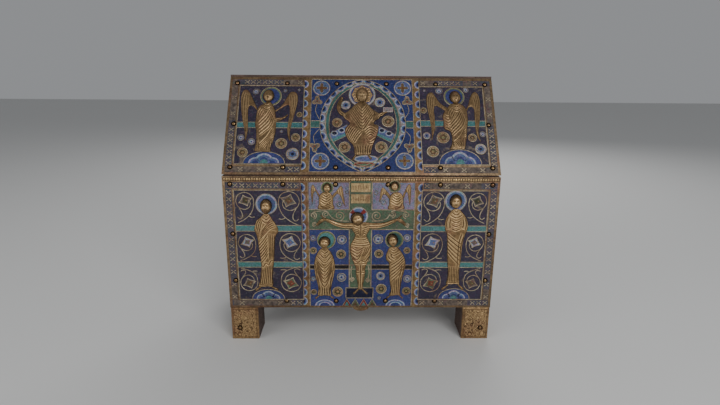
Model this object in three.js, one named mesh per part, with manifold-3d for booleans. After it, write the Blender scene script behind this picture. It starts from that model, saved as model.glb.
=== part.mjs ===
// A house-shaped reliquary casket: an oak box and an oak lift-off roof, sheathed in gilt and enamelled
// copper plates that are held by round-headed nails. Millimetres, +Z up, the front faces -Y, and the
// origin is on the ground in the middle of the whole, with the heads that stand out from the front.
import * as THREE from "three";
import { mergeVertices } from "three/addons/utils/BufferGeometryUtils.js";
import Module from "manifold-3d";

const wasm = await Module();
wasm.setup();

// Driving sizes of the casket
const casketWidth = 280; // over the ends of the front plates
const casketDepth = 130; // over the outer faces of the wall plates
const footHeight = 37.5;
const footWidth = 29;
const footDepth = 32;
const footInset = 0.5; // the feet stand this far in from the ends of the walls
const footNailIn = 0.3; // a foot's nail, as shares of its plate: in from the outer edge, and up
const footNailUp = 0.36;
const wallHeight = 144;
const seamHeight = 1.8; // open joint between the wall plates and the roof plates
const roofRise = 93.3; // from the eaves to the upper edge of the roof plates
const plateThickness = 2;
const boardThickness = 9;
const layGap = 0.3; // clearance between pieces that lie on each other
const ridgeStripWidth = 2.4;
const ridgeStripHeight = 5;
const gableStep = 1; // the gables stop this far below the point where their slopes would meet

// Driving sizes of the metalwork
const reliefHeight = 0.8; // highest point of the chased figures above the enamel
const filletHeight = 0.5; // copper lines left standing between the enamels
const filletWidth = 1.2;
const rimWidth = 3.6; // plain gilt edge round each plate
const borderWidth = 7; // band of crosslets inside the rim
const nailRadius = 2;
const nailHeight = 1.5;
const nailSides = 8;
const nailInset = 8; // from a plate's edge to the middle of a nail
const edgeNailCount = 6; // along each long edge
const rootDepth = 0.6; // how far raised work is carried into its plate
const tabWidth = 17; // half-round lip under the middle of the front plate
const tabDrop = 3.8;
const tabFacets = 8;

// Places that follow from the sizes above
const wallTop = footHeight + wallHeight;
const eaveHeight = wallTop + seamHeight;
const halfDepth = casketDepth / 2;
const roofRun = halfDepth - ridgeStripWidth / 2 - layGap;
const roofPitch = Math.atan2(roofRise, roofRun);
const roofSlope = Math.hypot(roofRise, roofRun);
const skin = plateThickness + layGap; // from a plate's outer face to the board behind it
const coreHalfWidth = casketWidth / 2 - skin;
const coreHalfDepth = halfDepth - skin;
const lidBase = wallTop + layGap;
const headSeat = reliefHeight + layGap;

// Materials, one for each kind of surface
const oak = new THREE.MeshStandardMaterial({ color: 0x4a3226, roughness: 0.8 });
const enamelledCopper = new THREE.MeshStandardMaterial({ color: 0x3a4a86, roughness: 0.35, metalness: 0.3 });
const giltCopper = new THREE.MeshStandardMaterial({ color: 0xa8834c, roughness: 0.4, metalness: 0.9 });

// Joining of solids
const toSolid = (geometry) => {
  const bare = geometry.clone();
  bare.deleteAttribute("normal");
  bare.deleteAttribute("uv");
  const merged = mergeVertices(bare, 1e-4);
  return new wasm.Manifold(
    new wasm.Mesh({
      numProp: 3,
      vertProperties: merged.attributes.position.array,
      triVerts: new Uint32Array(merged.index.array),
    }),
  );
};

const toGeometry = (solid) => {
  const mesh = solid.getMesh();
  const geometry = new THREE.BufferGeometry();
  geometry.setAttribute("position", new THREE.BufferAttribute(mesh.vertProperties, 3));
  geometry.setIndex(new THREE.BufferAttribute(mesh.triVerts, 1));
  return geometry;
};

const joined = (geometries) => toGeometry(geometries.map(toSolid).reduce((whole, next) => whole.add(next)));

// Basic shapes, in a plate's own frame: x to the right, y up the plate, z out from the enamel
const block = (low, high) => {
  const size = high.map((value, axis) => value - low[axis]);
  const middle = high.map((value, axis) => (value + low[axis]) / 2);
  return new THREE.BoxGeometry(...size).translate(...middle);
};

const outline = (points) => new THREE.Shape(points.map(([x, y]) => new THREE.Vector2(x, y)));

const slabOf = (shape, low, high) =>
  new THREE.ExtrudeGeometry(shape, { depth: high - low, bevelEnabled: false, curveSegments: 10 }).translate(0, 0, low);

const rectangle = (left, bottom, right, top) => [
  [left, bottom],
  [right, bottom],
  [right, top],
  [left, top],
];

const raised = (points, height = filletHeight) => slabOf(outline(points), -rootDepth, height);

// A standing line of copper along the inner side of a rectangle
const frame = (left, bottom, right, top) => {
  const shape = outline(rectangle(left, bottom, right, top));
  const hole = outline(
    rectangle(left + filletWidth, bottom + filletWidth, right - filletWidth, top - filletWidth),
  );
  shape.holes.push(hole);
  return slabOf(shape, -rootDepth, filletHeight);
};

const ellipsePoints = (x, y, halfWidth, halfHeight, sides) =>
  Array.from({ length: sides }, (_, index) => {
    const angle = (2 * Math.PI * index) / sides;
    return [x + halfWidth * Math.cos(angle), y + halfHeight * Math.sin(angle)];
  });

const ring = (x, y, halfWidth, halfHeight, sides, width = filletWidth) => {
  const shape = outline(ellipsePoints(x, y, halfWidth, halfHeight, sides));
  shape.holes.push(outline(ellipsePoints(x, y, halfWidth - width, halfHeight - width, sides)));
  return slabOf(shape, -rootDepth, filletHeight);
};

const nail = ([x, y]) => {
  const profile = [
    [0, -rootDepth],
    [nailRadius, -rootDepth],
    [nailRadius * 0.8, nailHeight * 0.6],
    [0, nailHeight],
  ].map(([radius, height]) => new THREE.Vector2(radius, height));
  return new THREE.LatheGeometry(profile, nailSides).rotateX(Math.PI / 2).translate(x, y, 0);
};

// A closed strip of low relief. Each row is a pair of points, one on each edge of the strip, and the
// height is a function of the way along (0 to 1) and the way across (-1 to 1).
const reliefStrip = (rows, columns, heightAt) => {
  const positions = [];
  const index = [];
  const across = columns + 1;
  const layer = rows.length * across;
  for (const isTop of [true, false]) {
    rows.forEach(([left, right], row) => {
      for (let column = 0; column < across; column++) {
        const share = column / columns;
        const height = isTop ? heightAt(row / (rows.length - 1), 2 * share - 1) : -rootDepth;
        positions.push(left[0] + (right[0] - left[0]) * share, left[1] + (right[1] - left[1]) * share, height);
      }
    });
  }
  const quad = (a, b, c, d) => index.push(a, b, c, a, c, d);
  for (let row = 0; row < rows.length - 1; row++) {
    for (let column = 0; column < columns; column++) {
      const a = row * across + column;
      quad(a, a + 1, a + across + 1, a + across);
      quad(layer + a, layer + a + across, layer + a + across + 1, layer + a + 1);
    }
    const start = row * across;
    quad(start, start + across, layer + start + across, layer + start);
    quad(start + columns, layer + start + columns, layer + start + columns + across, start + columns + across);
  }
  const last = (rows.length - 1) * across;
  for (let column = 0; column < columns; column++) {
    quad(column, layer + column, layer + column + 1, column + 1);
    quad(last + column, last + column + 1, layer + last + column + 1, layer + last + column);
  }
  const geometry = new THREE.BufferGeometry();
  geometry.setAttribute("position", new THREE.BufferAttribute(new Float32Array(positions), 3));
  geometry.setIndex(index);
  return geometry;
};

// A value read between the rows of a table whose first column rises from 0 to 1
const between = (table, share, column) => {
  const next = Math.max(1, table.findIndex((entry) => entry[0] >= share - 1e-9));
  const [from, to] = [table[next - 1], table[next]];
  return from[column] + ((to[column] - from[column]) * (share - from[0])) / (to[0] - from[0]);
};

const crown = (across) => 0.45 + 0.55 * Math.sqrt(Math.max(0, 1 - across * across));

// Drapery: V-shaped folds down the middle of a robe, in shares of the relief's height
const foldDepth = 0.3;
const foldCount = 6;
const drapery = (along, across) => {
  const turns = foldCount * (along + 0.25 * Math.abs(across));
  return foldDepth * Math.abs(2 * (turns - Math.floor(turns)) - 1);
};

// A robed body. Its table gives the half-widths on the left and right as shares of its height.
const robe = (table, x, hem, height, rowCount, mirrored = 1) => {
  const rows = Array.from({ length: rowCount + 1 }, (_, index) => {
    const share = index / rowCount;
    const left = height * between(table, share, mirrored > 0 ? 1 : 2);
    const right = height * between(table, share, mirrored > 0 ? 2 : 1);
    return [
      [x - left, hem + share * height],
      [x + right, hem + share * height],
    ];
  });
  return reliefStrip(rows, 4, (along, across) => reliefHeight * (crown(across) - drapery(along, across)));
};

// A limb or a wing that follows a spine of points, each with its half-width
const limb = (spine, rowCount = spine.length - 1, columns = 2) => {
  const curve = new THREE.CatmullRomCurve3(spine.map(([x, y]) => new THREE.Vector3(x, y, 0)));
  const rows = Array.from({ length: rowCount + 1 }, (_, index) => {
    const share = index / rowCount;
    const point = curve.getPoint(share);
    const way = curve.getTangent(share);
    const place = share * (spine.length - 1);
    const lower = Math.min(spine.length - 2, Math.floor(place));
    const half = spine[lower][2] + (spine[lower + 1][2] - spine[lower][2]) * (place - lower);
    return [
      [point.x - way.y * half, point.y + way.x * half],
      [point.x + way.y * half, point.y - way.x * half],
    ];
  });
  return reliefStrip(rows, columns, (along, across) => reliefHeight * crown(across));
};

// Bodies: share of the height from hem to neck, then the half-widths as shares of that height
const saintRobe = [
  [0, 0.13, 0.12],
  [0.08, 0.115, 0.08],
  [0.25, 0.1, 0.07],
  [0.4, 0.098, 0.078],
  [0.55, 0.105, 0.09],
  [0.68, 0.118, 0.1],
  [0.78, 0.152, 0.14],
  [0.89, 0.135, 0.127],
  [0.96, 0.085, 0.085],
  [1, 0.04, 0.045],
];
const mournerRobe = [
  [0, 0.15, 0.13],
  [0.19, 0.17, 0.165],
  [0.42, 0.21, 0.21],
  [0.61, 0.232, 0.232],
  [0.8, 0.19, 0.19],
  [0.93, 0.12, 0.12],
  [1, 0.07, 0.07],
];
const angelRobe = [
  [0, 0.165, 0.125],
  [0.11, 0.135, 0.15],
  [0.39, 0.16, 0.19],
  [0.62, 0.195, 0.185],
  [0.85, 0.18, 0.165],
  [0.93, 0.12, 0.12],
  [1, 0.05, 0.06],
];
const throneRobe = [
  [0, 0.1, 0.1],
  [0.1, 0.13, 0.13],
  [0.25, 0.19, 0.19],
  [0.36, 0.25, 0.25],
  [0.54, 0.258, 0.258],
  [0.6, 0.18, 0.18],
  [0.75, 0.15, 0.15],
  [0.92, 0.155, 0.155],
  [1, 0.055, 0.055],
];
const crucifiedBody = [
  [0, 0.028, 0.028],
  [0.17, 0.045, 0.045],
  [0.36, 0.085, 0.085],
  [0.42, 0.118, 0.118],
  [0.57, 0.153, 0.153],
  [0.68, 0.148, 0.148],
  [0.82, 0.082, 0.082],
  [0.9, 0.11, 0.11],
  [0.97, 0.15, 0.15],
  [1, 0.14, 0.14],
];
const bustRobe = [
  [0, 0.42, 0.42],
  [0.5, 0.43, 0.43],
  [0.8, 0.36, 0.36],
  [1, 0.14, 0.14],
];

// The chased pictures are laid out in millimetres from the middle of the plate's lower edge, on plates
// of these sizes, and are stretched to the plates of the casket
const pictureWidth = 280;
const wallPictureHeight = 144;
const roofPictureHeight = 113;
const wallStretch = [casketWidth / pictureWidth, wallHeight / wallPictureHeight];
const roofStretch = [casketWidth / pictureWidth, roofSlope / roofPictureHeight];
const stretched = (geometries, [across, up]) => geometries.map((geometry) => geometry.scale(across, up, 1));

const sideHalo = 10.6;
const throneHalo = 14;
const smallHalo = 9.2;
const bustHalo = 5.6;
const bustWingRoot = 1; // half-width of a wing at its root
const angelWingRoot = 1.7;

// Each figure: its middle line, hem and height, and the middles of its halo and head. A wing has its
// root's offset from the middle line, the root's height, then its reach, rise and drop.
const wallFigures = {
  leftSaint: { x: -97, hem: 20, height: 85, halo: [-96.5, 115.2], head: [-96.8, 113.2] },
  rightSaint: { x: 97.3, hem: 20, height: 89, halo: [95.6, 119.4], head: [95.6, 118.6] },
  leftMourner: { x: -38, hem: 17, height: 50, halo: [-36.3, 77], head: [-38, 74.8] },
  rightMourner: { x: 36, hem: 17, height: 50.5, halo: [34.2, 77.2], head: [32.4, 77] },
  crucified: { x: -0.8, hem: 20, height: 74.5, halo: [-3.1, 102.8], head: [-4.2, 100.3] },
  leftAngel: {
    x: -35.8, hem: 110, height: 18, halo: [-34.2, 133], head: [-34.8, 132.5],
    wings: [[-6, 122, 7, 12, 8], [7, 122, 7, 11, 9]],
  },
  rightAngel: {
    x: 35, hem: 110.4, height: 18.5, halo: [32.7, 134.4], head: [33, 134.4],
    wings: [[-6, 123, 8, 10, 7], [7, 123, 6, 11, 9]],
  },
};
const roofFigures = {
  leftAngel: {
    x: -99, hem: 23.6, height: 56.5, halo: [-95.5, 89], head: [-98, 88.5],
    wings: [[-8, 72, 15, 20, 36], [7, 71, 18, 21, 35]],
  },
  rightAngel: {
    x: 99, hem: 27, height: 54.5, halo: [98, 89.8], head: [99, 88.2],
    wings: [[-7, 74, 20, 19, 36], [8, 73, 13, 20, 34]],
  },
  enthroned: { x: 0.2, hem: 18, height: 63, halo: [0.6, 91.6], head: [0.6, 90.6] },
};

// The cross behind the crucified figure
const crossMiddle = -1;
const crossHalfWidth = 11;
const crossReach = 53;
const crossArmBottom = 88.5;
const crossArmTop = 109.6;
const crossFoot = 23.5;
const crossTop = 140;

// The mound at the foot of the cross, and the book held by the enthroned figure: left, bottom, right, top
const mound = [-16.5, 10.8, 13.2, 23.4];
const book = [22, 69.6, 32.6, 76.4];

// The almond-shaped glory round the enthroned figure
const gloryMiddle = [1.2, 56.6];
const gloryHalfWidth = 44.5;
const gloryHalfHeight = 53.2;
const gloryBand = 10;

// The side fields, inside the bands of crosslets and clouds
const sideFieldInner = 61.5;
const sideFieldOuter = 129;
const wallFieldBottom = 9.8;
const wallFieldTop = 130.5;
const roofFieldBottom = 11.5;
const roofFieldTop = 101.5;

const footedPair = (x, y, spread) =>
  [-1, 1].map((side) =>
    limb([
      [x + side * 2.5, y + 3.5, 1.8],
      [x + side * spread, y - 2, 1.5],
    ]),
  );

// The spine of a wing, in shares of its reach, rise or drop, with its half-width in shares of the root's
const wingSpine = [
  [0, 0, 1],
  [0.5, 0.62, 2],
  [1, 1, 2.6],
  [1.12, -0.05, 2.3],
  [1.03, -0.55, 1.6],
  [1.05, -1, 0.4],
];
const wingRows = 7;
const wings = (figure, root) =>
  figure.wings.map(([offset, y, reach, rise, drop]) => {
    const spine = wingSpine.map(([out, up, half]) => [
      figure.x + offset + Math.sign(offset) * reach * out,
      y + up * (up > 0 ? rise : drop),
      root * half,
    ]);
    return limb(spine, wingRows);
  });

const haloWidth = 0.9;
const haloSides = 14;
const halo = ({ halo: [x, y] }, radius) => ring(x, y, radius, radius, haloSides, haloWidth);

// Relief of the front wall
const crossPiece = () => {
  const points = [
    [crossMiddle - crossHalfWidth, crossFoot],
    [crossMiddle + crossHalfWidth, crossFoot],
    [crossMiddle + crossHalfWidth, crossArmBottom],
    [crossReach, crossArmBottom],
    [crossReach, crossArmTop],
    [crossMiddle + crossHalfWidth, crossArmTop],
    [crossMiddle + crossHalfWidth, crossTop],
    [crossMiddle - crossHalfWidth, crossTop],
    [crossMiddle - crossHalfWidth, crossArmTop],
    [-crossReach, crossArmTop],
    [-crossReach, crossArmBottom],
    [crossMiddle - crossHalfWidth, crossArmBottom],
  ];
  const armMiddle = (crossArmBottom + crossArmTop) / 2;
  const shape = outline(points);
  const inner = points.map(([x, y]) => [
    x - Math.sign(x - crossMiddle) * filletWidth,
    y + Math.sign(armMiddle - y) * filletWidth,
  ]);
  shape.holes.push(outline(inner));
  return slabOf(shape, -rootDepth, filletHeight);
};

const wallRelief = () => {
  const { leftSaint, rightSaint, leftMourner, rightMourner, crucified, leftAngel, rightAngel } = wallFigures;
  const armLine = (side) => [
    [crucified.x + side * 8, 91.6, 3.2],
    [crucified.x + side * 22, 93.2, 2.8],
    [crucified.x + side * 35, 98.4, 2.2],
    [crucified.x + side * 40, 100, 3.4],
    [crucified.x + side * 46, 100.5, 1.6],
  ];
  const pieces = [
    robe(saintRobe, leftSaint.x, leftSaint.hem, leftSaint.height, 10),
    robe(saintRobe, rightSaint.x, rightSaint.hem, rightSaint.height, 10, -1),
    robe(mournerRobe, leftMourner.x, leftMourner.hem, leftMourner.height, 7),
    robe(mournerRobe, rightMourner.x, rightMourner.hem, rightMourner.height, 7, -1),
    robe(crucifiedBody, crucified.x, crucified.hem, crucified.height, 10),
    robe(bustRobe, leftAngel.x, leftAngel.hem, leftAngel.height, 4),
    robe(bustRobe, rightAngel.x, rightAngel.hem, rightAngel.height, 4),
    limb(armLine(-1), 6),
    limb(armLine(1), 6),
    ...[leftSaint, rightSaint].flatMap(({ x, hem }) => footedPair(x, hem, 11)),
    ...[leftMourner, rightMourner].flatMap(({ x, hem }) => footedPair(x, hem, 8)),
    ...footedPair(crucified.x, crucified.hem, 6),
    ...[leftSaint, rightSaint].map((figure) => halo(figure, sideHalo)),
    ...[leftMourner, rightMourner, crucified].map((figure) => halo(figure, smallHalo)),
    ...[leftAngel, rightAngel].map((figure) => halo(figure, bustHalo)),
    ...[leftAngel, rightAngel].flatMap((figure) => wings(figure, bustWingRoot)),
    crossPiece(),
    frame(...mound),
    frame(-sideFieldOuter, wallFieldBottom, -sideFieldInner, wallFieldTop),
    frame(sideFieldInner, wallFieldBottom, sideFieldOuter, wallFieldTop),
  ];
  return stretched(pieces, wallStretch);
};

// Relief of the front of the roof
const roofRelief = () => {
  const { leftAngel, rightAngel, enthroned } = roofFigures;
  const sleeve = (side) => [
    [enthroned.x + side * 7, 70, 4],
    [enthroned.x + side * 15, 64, 4.2],
    [enthroned.x + side * 21, 70, 2.6],
    [enthroned.x + side * 25, 76, 1.8],
  ];
  const blessingHand = [
    [enthroned.x - 25, 75, 1.8],
    [enthroned.x - 22, 82, 2.6],
    [enthroned.x - 20, 89, 1.2],
  ];
  const angelArm = [
    [leftAngel.x + 8, 60, 2.4],
    [leftAngel.x + 21, 65.5, 1.2],
  ];
  const pieces = [
    robe(angelRobe, leftAngel.x, leftAngel.hem, leftAngel.height, 8),
    robe(angelRobe, rightAngel.x, rightAngel.hem, rightAngel.height, 8, -1),
    robe(throneRobe, enthroned.x, enthroned.hem, enthroned.height, 10),
    limb(sleeve(-1), 5),
    limb(sleeve(1), 5),
    limb(blessingHand),
    limb(angelArm),
    raised(rectangle(...book), reliefHeight),
    ...footedPair(enthroned.x, enthroned.hem + 1, 8),
    halo(leftAngel, sideHalo),
    halo(rightAngel, sideHalo),
    halo(enthroned, throneHalo),
    ...[leftAngel, rightAngel].flatMap((figure) => wings(figure, angelWingRoot)),
    ring(...gloryMiddle, gloryHalfWidth, gloryHalfHeight, 32),
    ring(...gloryMiddle, gloryHalfWidth - gloryBand, gloryHalfHeight - gloryBand / 2, 28),
    frame(-sideFieldOuter, roofFieldBottom, -sideFieldInner, roofFieldTop),
    frame(sideFieldInner, roofFieldBottom, sideFieldOuter, roofFieldTop),
  ];
  return stretched(pieces, roofStretch);
};

// Nails: rows along the long edges of a plate and down its ends
const nailRow = (width, y, count = edgeNailCount) => {
  const reach = width / 2 - nailInset;
  return Array.from({ length: count }, (_, index) => [-reach + (2 * reach * index) / (count - 1), y]);
};
const endPairs = (width, heights) =>
  heights.flatMap((y) => [-1, 1].map((side) => [side * (width / 2 - nailInset), y]));
const edgedNails = (width, height, count) => [
  ...nailRow(width, nailInset, count),
  ...nailRow(width, height - nailInset, count),
  ...endPairs(width, [height / 2]),
];
const frontWallNails = [
  ...nailRow(casketWidth, nailInset).slice(1, -1),
  ...nailRow(casketWidth, wallHeight - nailInset),
  ...endPairs(casketWidth, [0.22, 0.58].map((share) => share * wallHeight)),
];

// The plates themselves, each with its raised work and its nails
const flatPlate = (width, height, decoration) =>
  joined([block([-width / 2, 0, -plateThickness], [width / 2, height, 0]), ...decoration]);

const tab = () => {
  const points = Array.from({ length: tabFacets + 1 }, (_, index) => {
    const angle = Math.PI + (Math.PI * index) / tabFacets;
    return [(tabWidth / 2) * Math.cos(angle), tabDrop * Math.sin(angle)];
  });
  return slabOf(outline([...points, [tabWidth / 2, 1], [-tabWidth / 2, 1]]), -plateThickness, 0);
};

// A roof plate is cut level at the eaves and upright at the ridge
const roofPlate = (decoration) => {
  const profile = outline([
    [0, 0],
    [roofSlope, 0],
    [roofSlope - plateThickness * Math.tan(roofPitch), -plateThickness],
    [plateThickness / Math.tan(roofPitch), -plateThickness],
  ]);
  const slab = slabOf(profile, -casketWidth / 2, casketWidth / 2);
  slab.applyMatrix4(new THREE.Matrix4().makeBasis(
    new THREE.Vector3(0, 1, 0),
    new THREE.Vector3(0, 0, 1),
    new THREE.Vector3(1, 0, 0),
  ));
  return joined([slab, ...decoration]);
};

// Depth in from the front of the roof's sloped outer face, at a height, for a layer that lies under it
const underRoof = (height, layer) =>
  halfDepth - (layer + (height - eaveHeight) * Math.cos(roofPitch)) / Math.sin(roofPitch);

// The place on the middle line where a layer under the slope meets its twin
const ridgeOf = (layer) => eaveHeight + (halfDepth * Math.sin(roofPitch) - layer) / Math.cos(roofPitch);

const boardRidge = ridgeOf(skin) - layGap - ridgeStripWidth / 2;

const gable = (layer, bottom, thickness) => {
  const top = Math.min(boardRidge, ridgeOf(layer) - gableStep);
  const points = [
    [-underRoof(bottom, layer), bottom],
    [underRoof(bottom, layer), bottom],
    [underRoof(top, layer), top],
    [-underRoof(top, layer), top],
  ];
  return slabOf(outline(points), -thickness, 0);
};

// The head of a figure: a half-round boss with a brow, a nose and a roll of hair. The face is a plain
// one of the usual proportions. Sizes are the half-width, half-height and depth of the boss.
const headRings = 5;
const headSides = 12;
const headSurface = (x, y) => {
  const bell = (value, middle, spread) => Math.exp(-(((value - middle) / spread) ** 2));
  const dome = Math.sqrt(Math.max(0, 1 - 0.9 * (x * x + y * y)));
  const nose = 0.22 * bell(x, 0, 0.14) * bell(y, -0.05, 0.25);
  const sockets = 0.14 * (bell(x, 0.3, 0.17) + bell(x, -0.3, 0.17)) * bell(y, 0.12, 0.14);
  const hairline = 0.1 * bell(Math.hypot(x / 0.85, y / 0.9), 1, 0.18);
  return dome + nose - sockets + hairline;
};

const head = (halfWidth, halfHeight, depth) => {
  const positions = [0, 0, depth * headSurface(0, 0)];
  const index = [];
  for (let ringNumber = 1; ringNumber <= headRings; ringNumber++) {
    const radius = ringNumber / headRings;
    for (let side = 0; side < headSides; side++) {
      const angle = (2 * Math.PI * side) / headSides + Math.PI / 2;
      const [x, y] = [radius * Math.cos(angle), radius * Math.sin(angle)];
      positions.push(x * halfWidth, y * halfHeight, depth * headSurface(x, y));
    }
  }
  const base = positions.length / 3;
  for (let side = 0; side < headSides; side++) {
    const rim = 1 + (headRings - 1) * headSides + side;
    positions.push(positions[rim * 3], positions[rim * 3 + 1], 0);
  }
  positions.push(0, 0, 0);
  for (let side = 0; side < headSides; side++) {
    const next = (side + 1) % headSides;
    index.push(0, 1 + side, 1 + next);
    for (let ringNumber = 0; ringNumber < headRings; ringNumber++) {
      const inner = 1 + ringNumber * headSides;
      const outer = inner + headSides;
      index.push(inner + side, outer + side, outer + next, inner + side, outer + next, inner + next);
    }
    index.push(base + headSides, base + next, base + side);
  }
  const geometry = new THREE.BufferGeometry();
  geometry.setAttribute("position", new THREE.BufferAttribute(new Float32Array(positions), 3));
  geometry.setIndex(index);
  return geometry;
};

// Assembly
const casket = new THREE.Group();

const addPiece = (parent, name, geometry, material, position = [0, 0, 0]) => {
  const flat = geometry.index ? geometry.toNonIndexed() : geometry;
  flat.computeVertexNormals();
  const mesh = new THREE.Mesh(flat, material);
  mesh.name = name;
  mesh.position.set(...position);
  parent.add(mesh);
  return mesh;
};

// A group whose x runs along a side of the casket, whose y runs up it and whose z points outwards
const faceOf = (turn, distance, bottom, pitch = Math.PI / 2) => {
  const side = new THREE.Group();
  side.rotation.z = turn;
  const face = new THREE.Group();
  face.position.set(0, -distance, bottom);
  face.rotation.x = pitch;
  side.add(face);
  casket.add(side);
  return face;
};

const frontTurn = 0;
const rightTurn = Math.PI / 2;
const backTurn = Math.PI;
const leftTurn = -Math.PI / 2;

// The oak box, of four walls round a floor
const boardInner = coreHalfDepth - boardThickness;
const endInner = coreHalfWidth - boardThickness;
for (const [name, turn] of [["box_front_board", frontTurn], ["box_back_board", backTurn]]) {
  const face = faceOf(turn, coreHalfDepth, footHeight);
  addPiece(face, name, block([-coreHalfWidth, 0, -boardThickness], [coreHalfWidth, wallHeight, 0]), oak);
}
for (const [name, turn] of [["box_left_board", leftTurn], ["box_right_board", rightTurn]]) {
  const half = boardInner - layGap;
  const face = faceOf(turn, coreHalfWidth, footHeight);
  addPiece(face, name, block([-half, 0, -boardThickness], [half, wallHeight, 0]), oak);
}
addPiece(
  casket,
  "box_floor_board",
  block(
    [layGap - endInner, layGap - boardInner, footHeight],
    [endInner - layGap, boardInner - layGap, footHeight + boardThickness],
  ),
  oak,
);

// The oak roof, of two slopes mitred under the ridge, two gables and a strip along the ridge
const slopeBoard = () => {
  const inner = skin + boardThickness;
  const halfMitre = layGap / 2;
  const points = [
    [-underRoof(lidBase, skin), lidBase],
    [-underRoof(lidBase, inner), lidBase],
    [-halfMitre, ridgeOf(inner) - halfMitre * Math.tan(roofPitch)],
    [-halfMitre, boardRidge],
    [-underRoof(boardRidge, skin), boardRidge],
  ];
  const board = slabOf(outline(points), -coreHalfWidth, coreHalfWidth);
  return board.applyMatrix4(new THREE.Matrix4().makeBasis(
    new THREE.Vector3(0, 1, 0),
    new THREE.Vector3(0, 0, 1),
    new THREE.Vector3(1, 0, 0),
  ));
};
for (const [name, turn] of [["roof_front_board", frontTurn], ["roof_back_board", backTurn]]) {
  addPiece(casket, name, slopeBoard(), oak).rotation.z = turn;
}
for (const [name, turn] of [["roof_left_gable_board", leftTurn], ["roof_right_gable_board", rightTurn]]) {
  const board = gable(skin + boardThickness + layGap, lidBase, boardThickness);
  addPiece(faceOf(turn, coreHalfWidth, 0), name, board, oak);
}
addPiece(
  casket,
  "ridge_strip",
  block(
    [-casketWidth / 2, -ridgeStripWidth / 2, boardRidge + layGap],
    [casketWidth / 2, ridgeStripWidth / 2, boardRidge + layGap + ridgeStripHeight],
  ),
  oak,
);

// Feet: an oak block at each corner, sheathed on its two outer sides
const corners = [
  ["front_left", -1, -1],
  ["front_right", 1, -1],
  ["back_left", -1, 1],
  ["back_right", 1, 1],
];
const footTop = footHeight - layGap;
const footOuterX = casketWidth / 2 - footInset;
const footPlate = (outer, inner) => {
  const [low, high] = [Math.min(outer, inner), Math.max(outer, inner)];
  const edge = filletWidth * 2;
  const rim = outline(rectangle(low, 0, high, footTop));
  rim.holes.push(outline(rectangle(low + edge, edge, high - edge, footTop - edge)));
  return joined([
    block([low, 0, -plateThickness], [high, footTop, 0]),
    slabOf(rim, -rootDepth, filletHeight / 2),
    nail([outer + (inner - outer) * footNailIn, footTop * footNailUp]),
  ]);
};
for (const [corner, sideX, sideY] of corners) {
  const outerX = footOuterX - skin;
  const nearX = footOuterX - footWidth;
  const farY = coreHalfDepth - footDepth;
  addPiece(
    casket,
    `${corner}_foot_block`,
    block(
      [Math.min(sideX * outerX, sideX * nearX), Math.min(sideY * coreHalfDepth, sideY * farY), 0],
      [Math.max(sideX * outerX, sideX * nearX), Math.max(sideY * coreHalfDepth, sideY * farY), footTop],
    ),
    oak,
  );
  const alongFront = sideX * -sideY;
  const frontFace = faceOf(sideY < 0 ? frontTurn : backTurn, halfDepth, 0);
  const facePlate = footPlate(alongFront * footOuterX, alongFront * nearX);
  addPiece(frontFace, `${corner}_foot_face_plate`, facePlate, giltCopper);
  const alongEnd = sideX * sideY;
  const endFace = faceOf(sideX < 0 ? leftTurn : rightTurn, footOuterX, 0);
  const sidePlate = footPlate(alongEnd * coreHalfDepth, alongEnd * farY);
  addPiece(endFace, `${corner}_foot_side_plate`, sidePlate, giltCopper);
}

// Wall plates
const fieldInset = rimWidth + borderWidth;
const plainField = (width, height) =>
  frame(fieldInset - width / 2, fieldInset, width / 2 - fieldInset, height - fieldInset);
const frontWall = faceOf(frontTurn, halfDepth, footHeight);
const frontWallPlate = flatPlate(casketWidth, wallHeight, [tab(), ...wallRelief(), ...frontWallNails.map(nail)]);
addPiece(frontWall, "front_wall_plate", frontWallPlate, enamelledCopper);
const plainPlate = (width, height, nailCount) => {
  const nails = edgedNails(width, height, nailCount).map(nail);
  return flatPlate(width, height, [plainField(width, height), ...nails]);
};
addPiece(
  faceOf(backTurn, halfDepth, footHeight),
  "back_wall_plate",
  plainPlate(casketWidth, wallHeight, edgeNailCount),
  enamelledCopper,
);
const endPlateWidth = 2 * coreHalfDepth;
const endNailCount = 3;
for (const [name, turn] of [["left_end_plate", leftTurn], ["right_end_plate", rightTurn]]) {
  const plate = plainPlate(endPlateWidth, wallHeight, endNailCount);
  addPiece(faceOf(turn, casketWidth / 2, footHeight), name, plate, enamelledCopper);
}

// Roof plates
const roofNails = edgedNails(casketWidth, roofSlope, edgeNailCount);
const frontRoof = faceOf(frontTurn, halfDepth, eaveHeight, roofPitch);
addPiece(frontRoof, "front_roof_plate", roofPlate([...roofRelief(), ...roofNails.map(nail)]), enamelledCopper);
addPiece(
  faceOf(backTurn, halfDepth, eaveHeight, roofPitch),
  "back_roof_plate",
  roofPlate([plainField(casketWidth, roofSlope), ...roofNails.map(nail)]),
  enamelledCopper,
);
const gableNails = () => {
  const lowest = eaveHeight + nailInset;
  const clear = (nailInset * 2) / Math.tan(roofPitch / 2) / 2; // from the slope to a nail, level
  const heights = [lowest, eaveHeight + roofRise * 0.45];
  const pairs = heights.flatMap((y) => [-1, 1].map((side) => [side * (underRoof(y, skin) - clear / 2), y]));
  return [...pairs, [0, lowest], [0, eaveHeight + roofRise * 0.78]];
};
for (const [name, turn] of [["left_gable_plate", leftTurn], ["right_gable_plate", rightTurn]]) {
  const plate = joined([gable(skin, eaveHeight, plateThickness), ...gableNails().map(nail)]);
  addPiece(faceOf(turn, casketWidth / 2, 0), name, plate, enamelledCopper);
}

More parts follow.
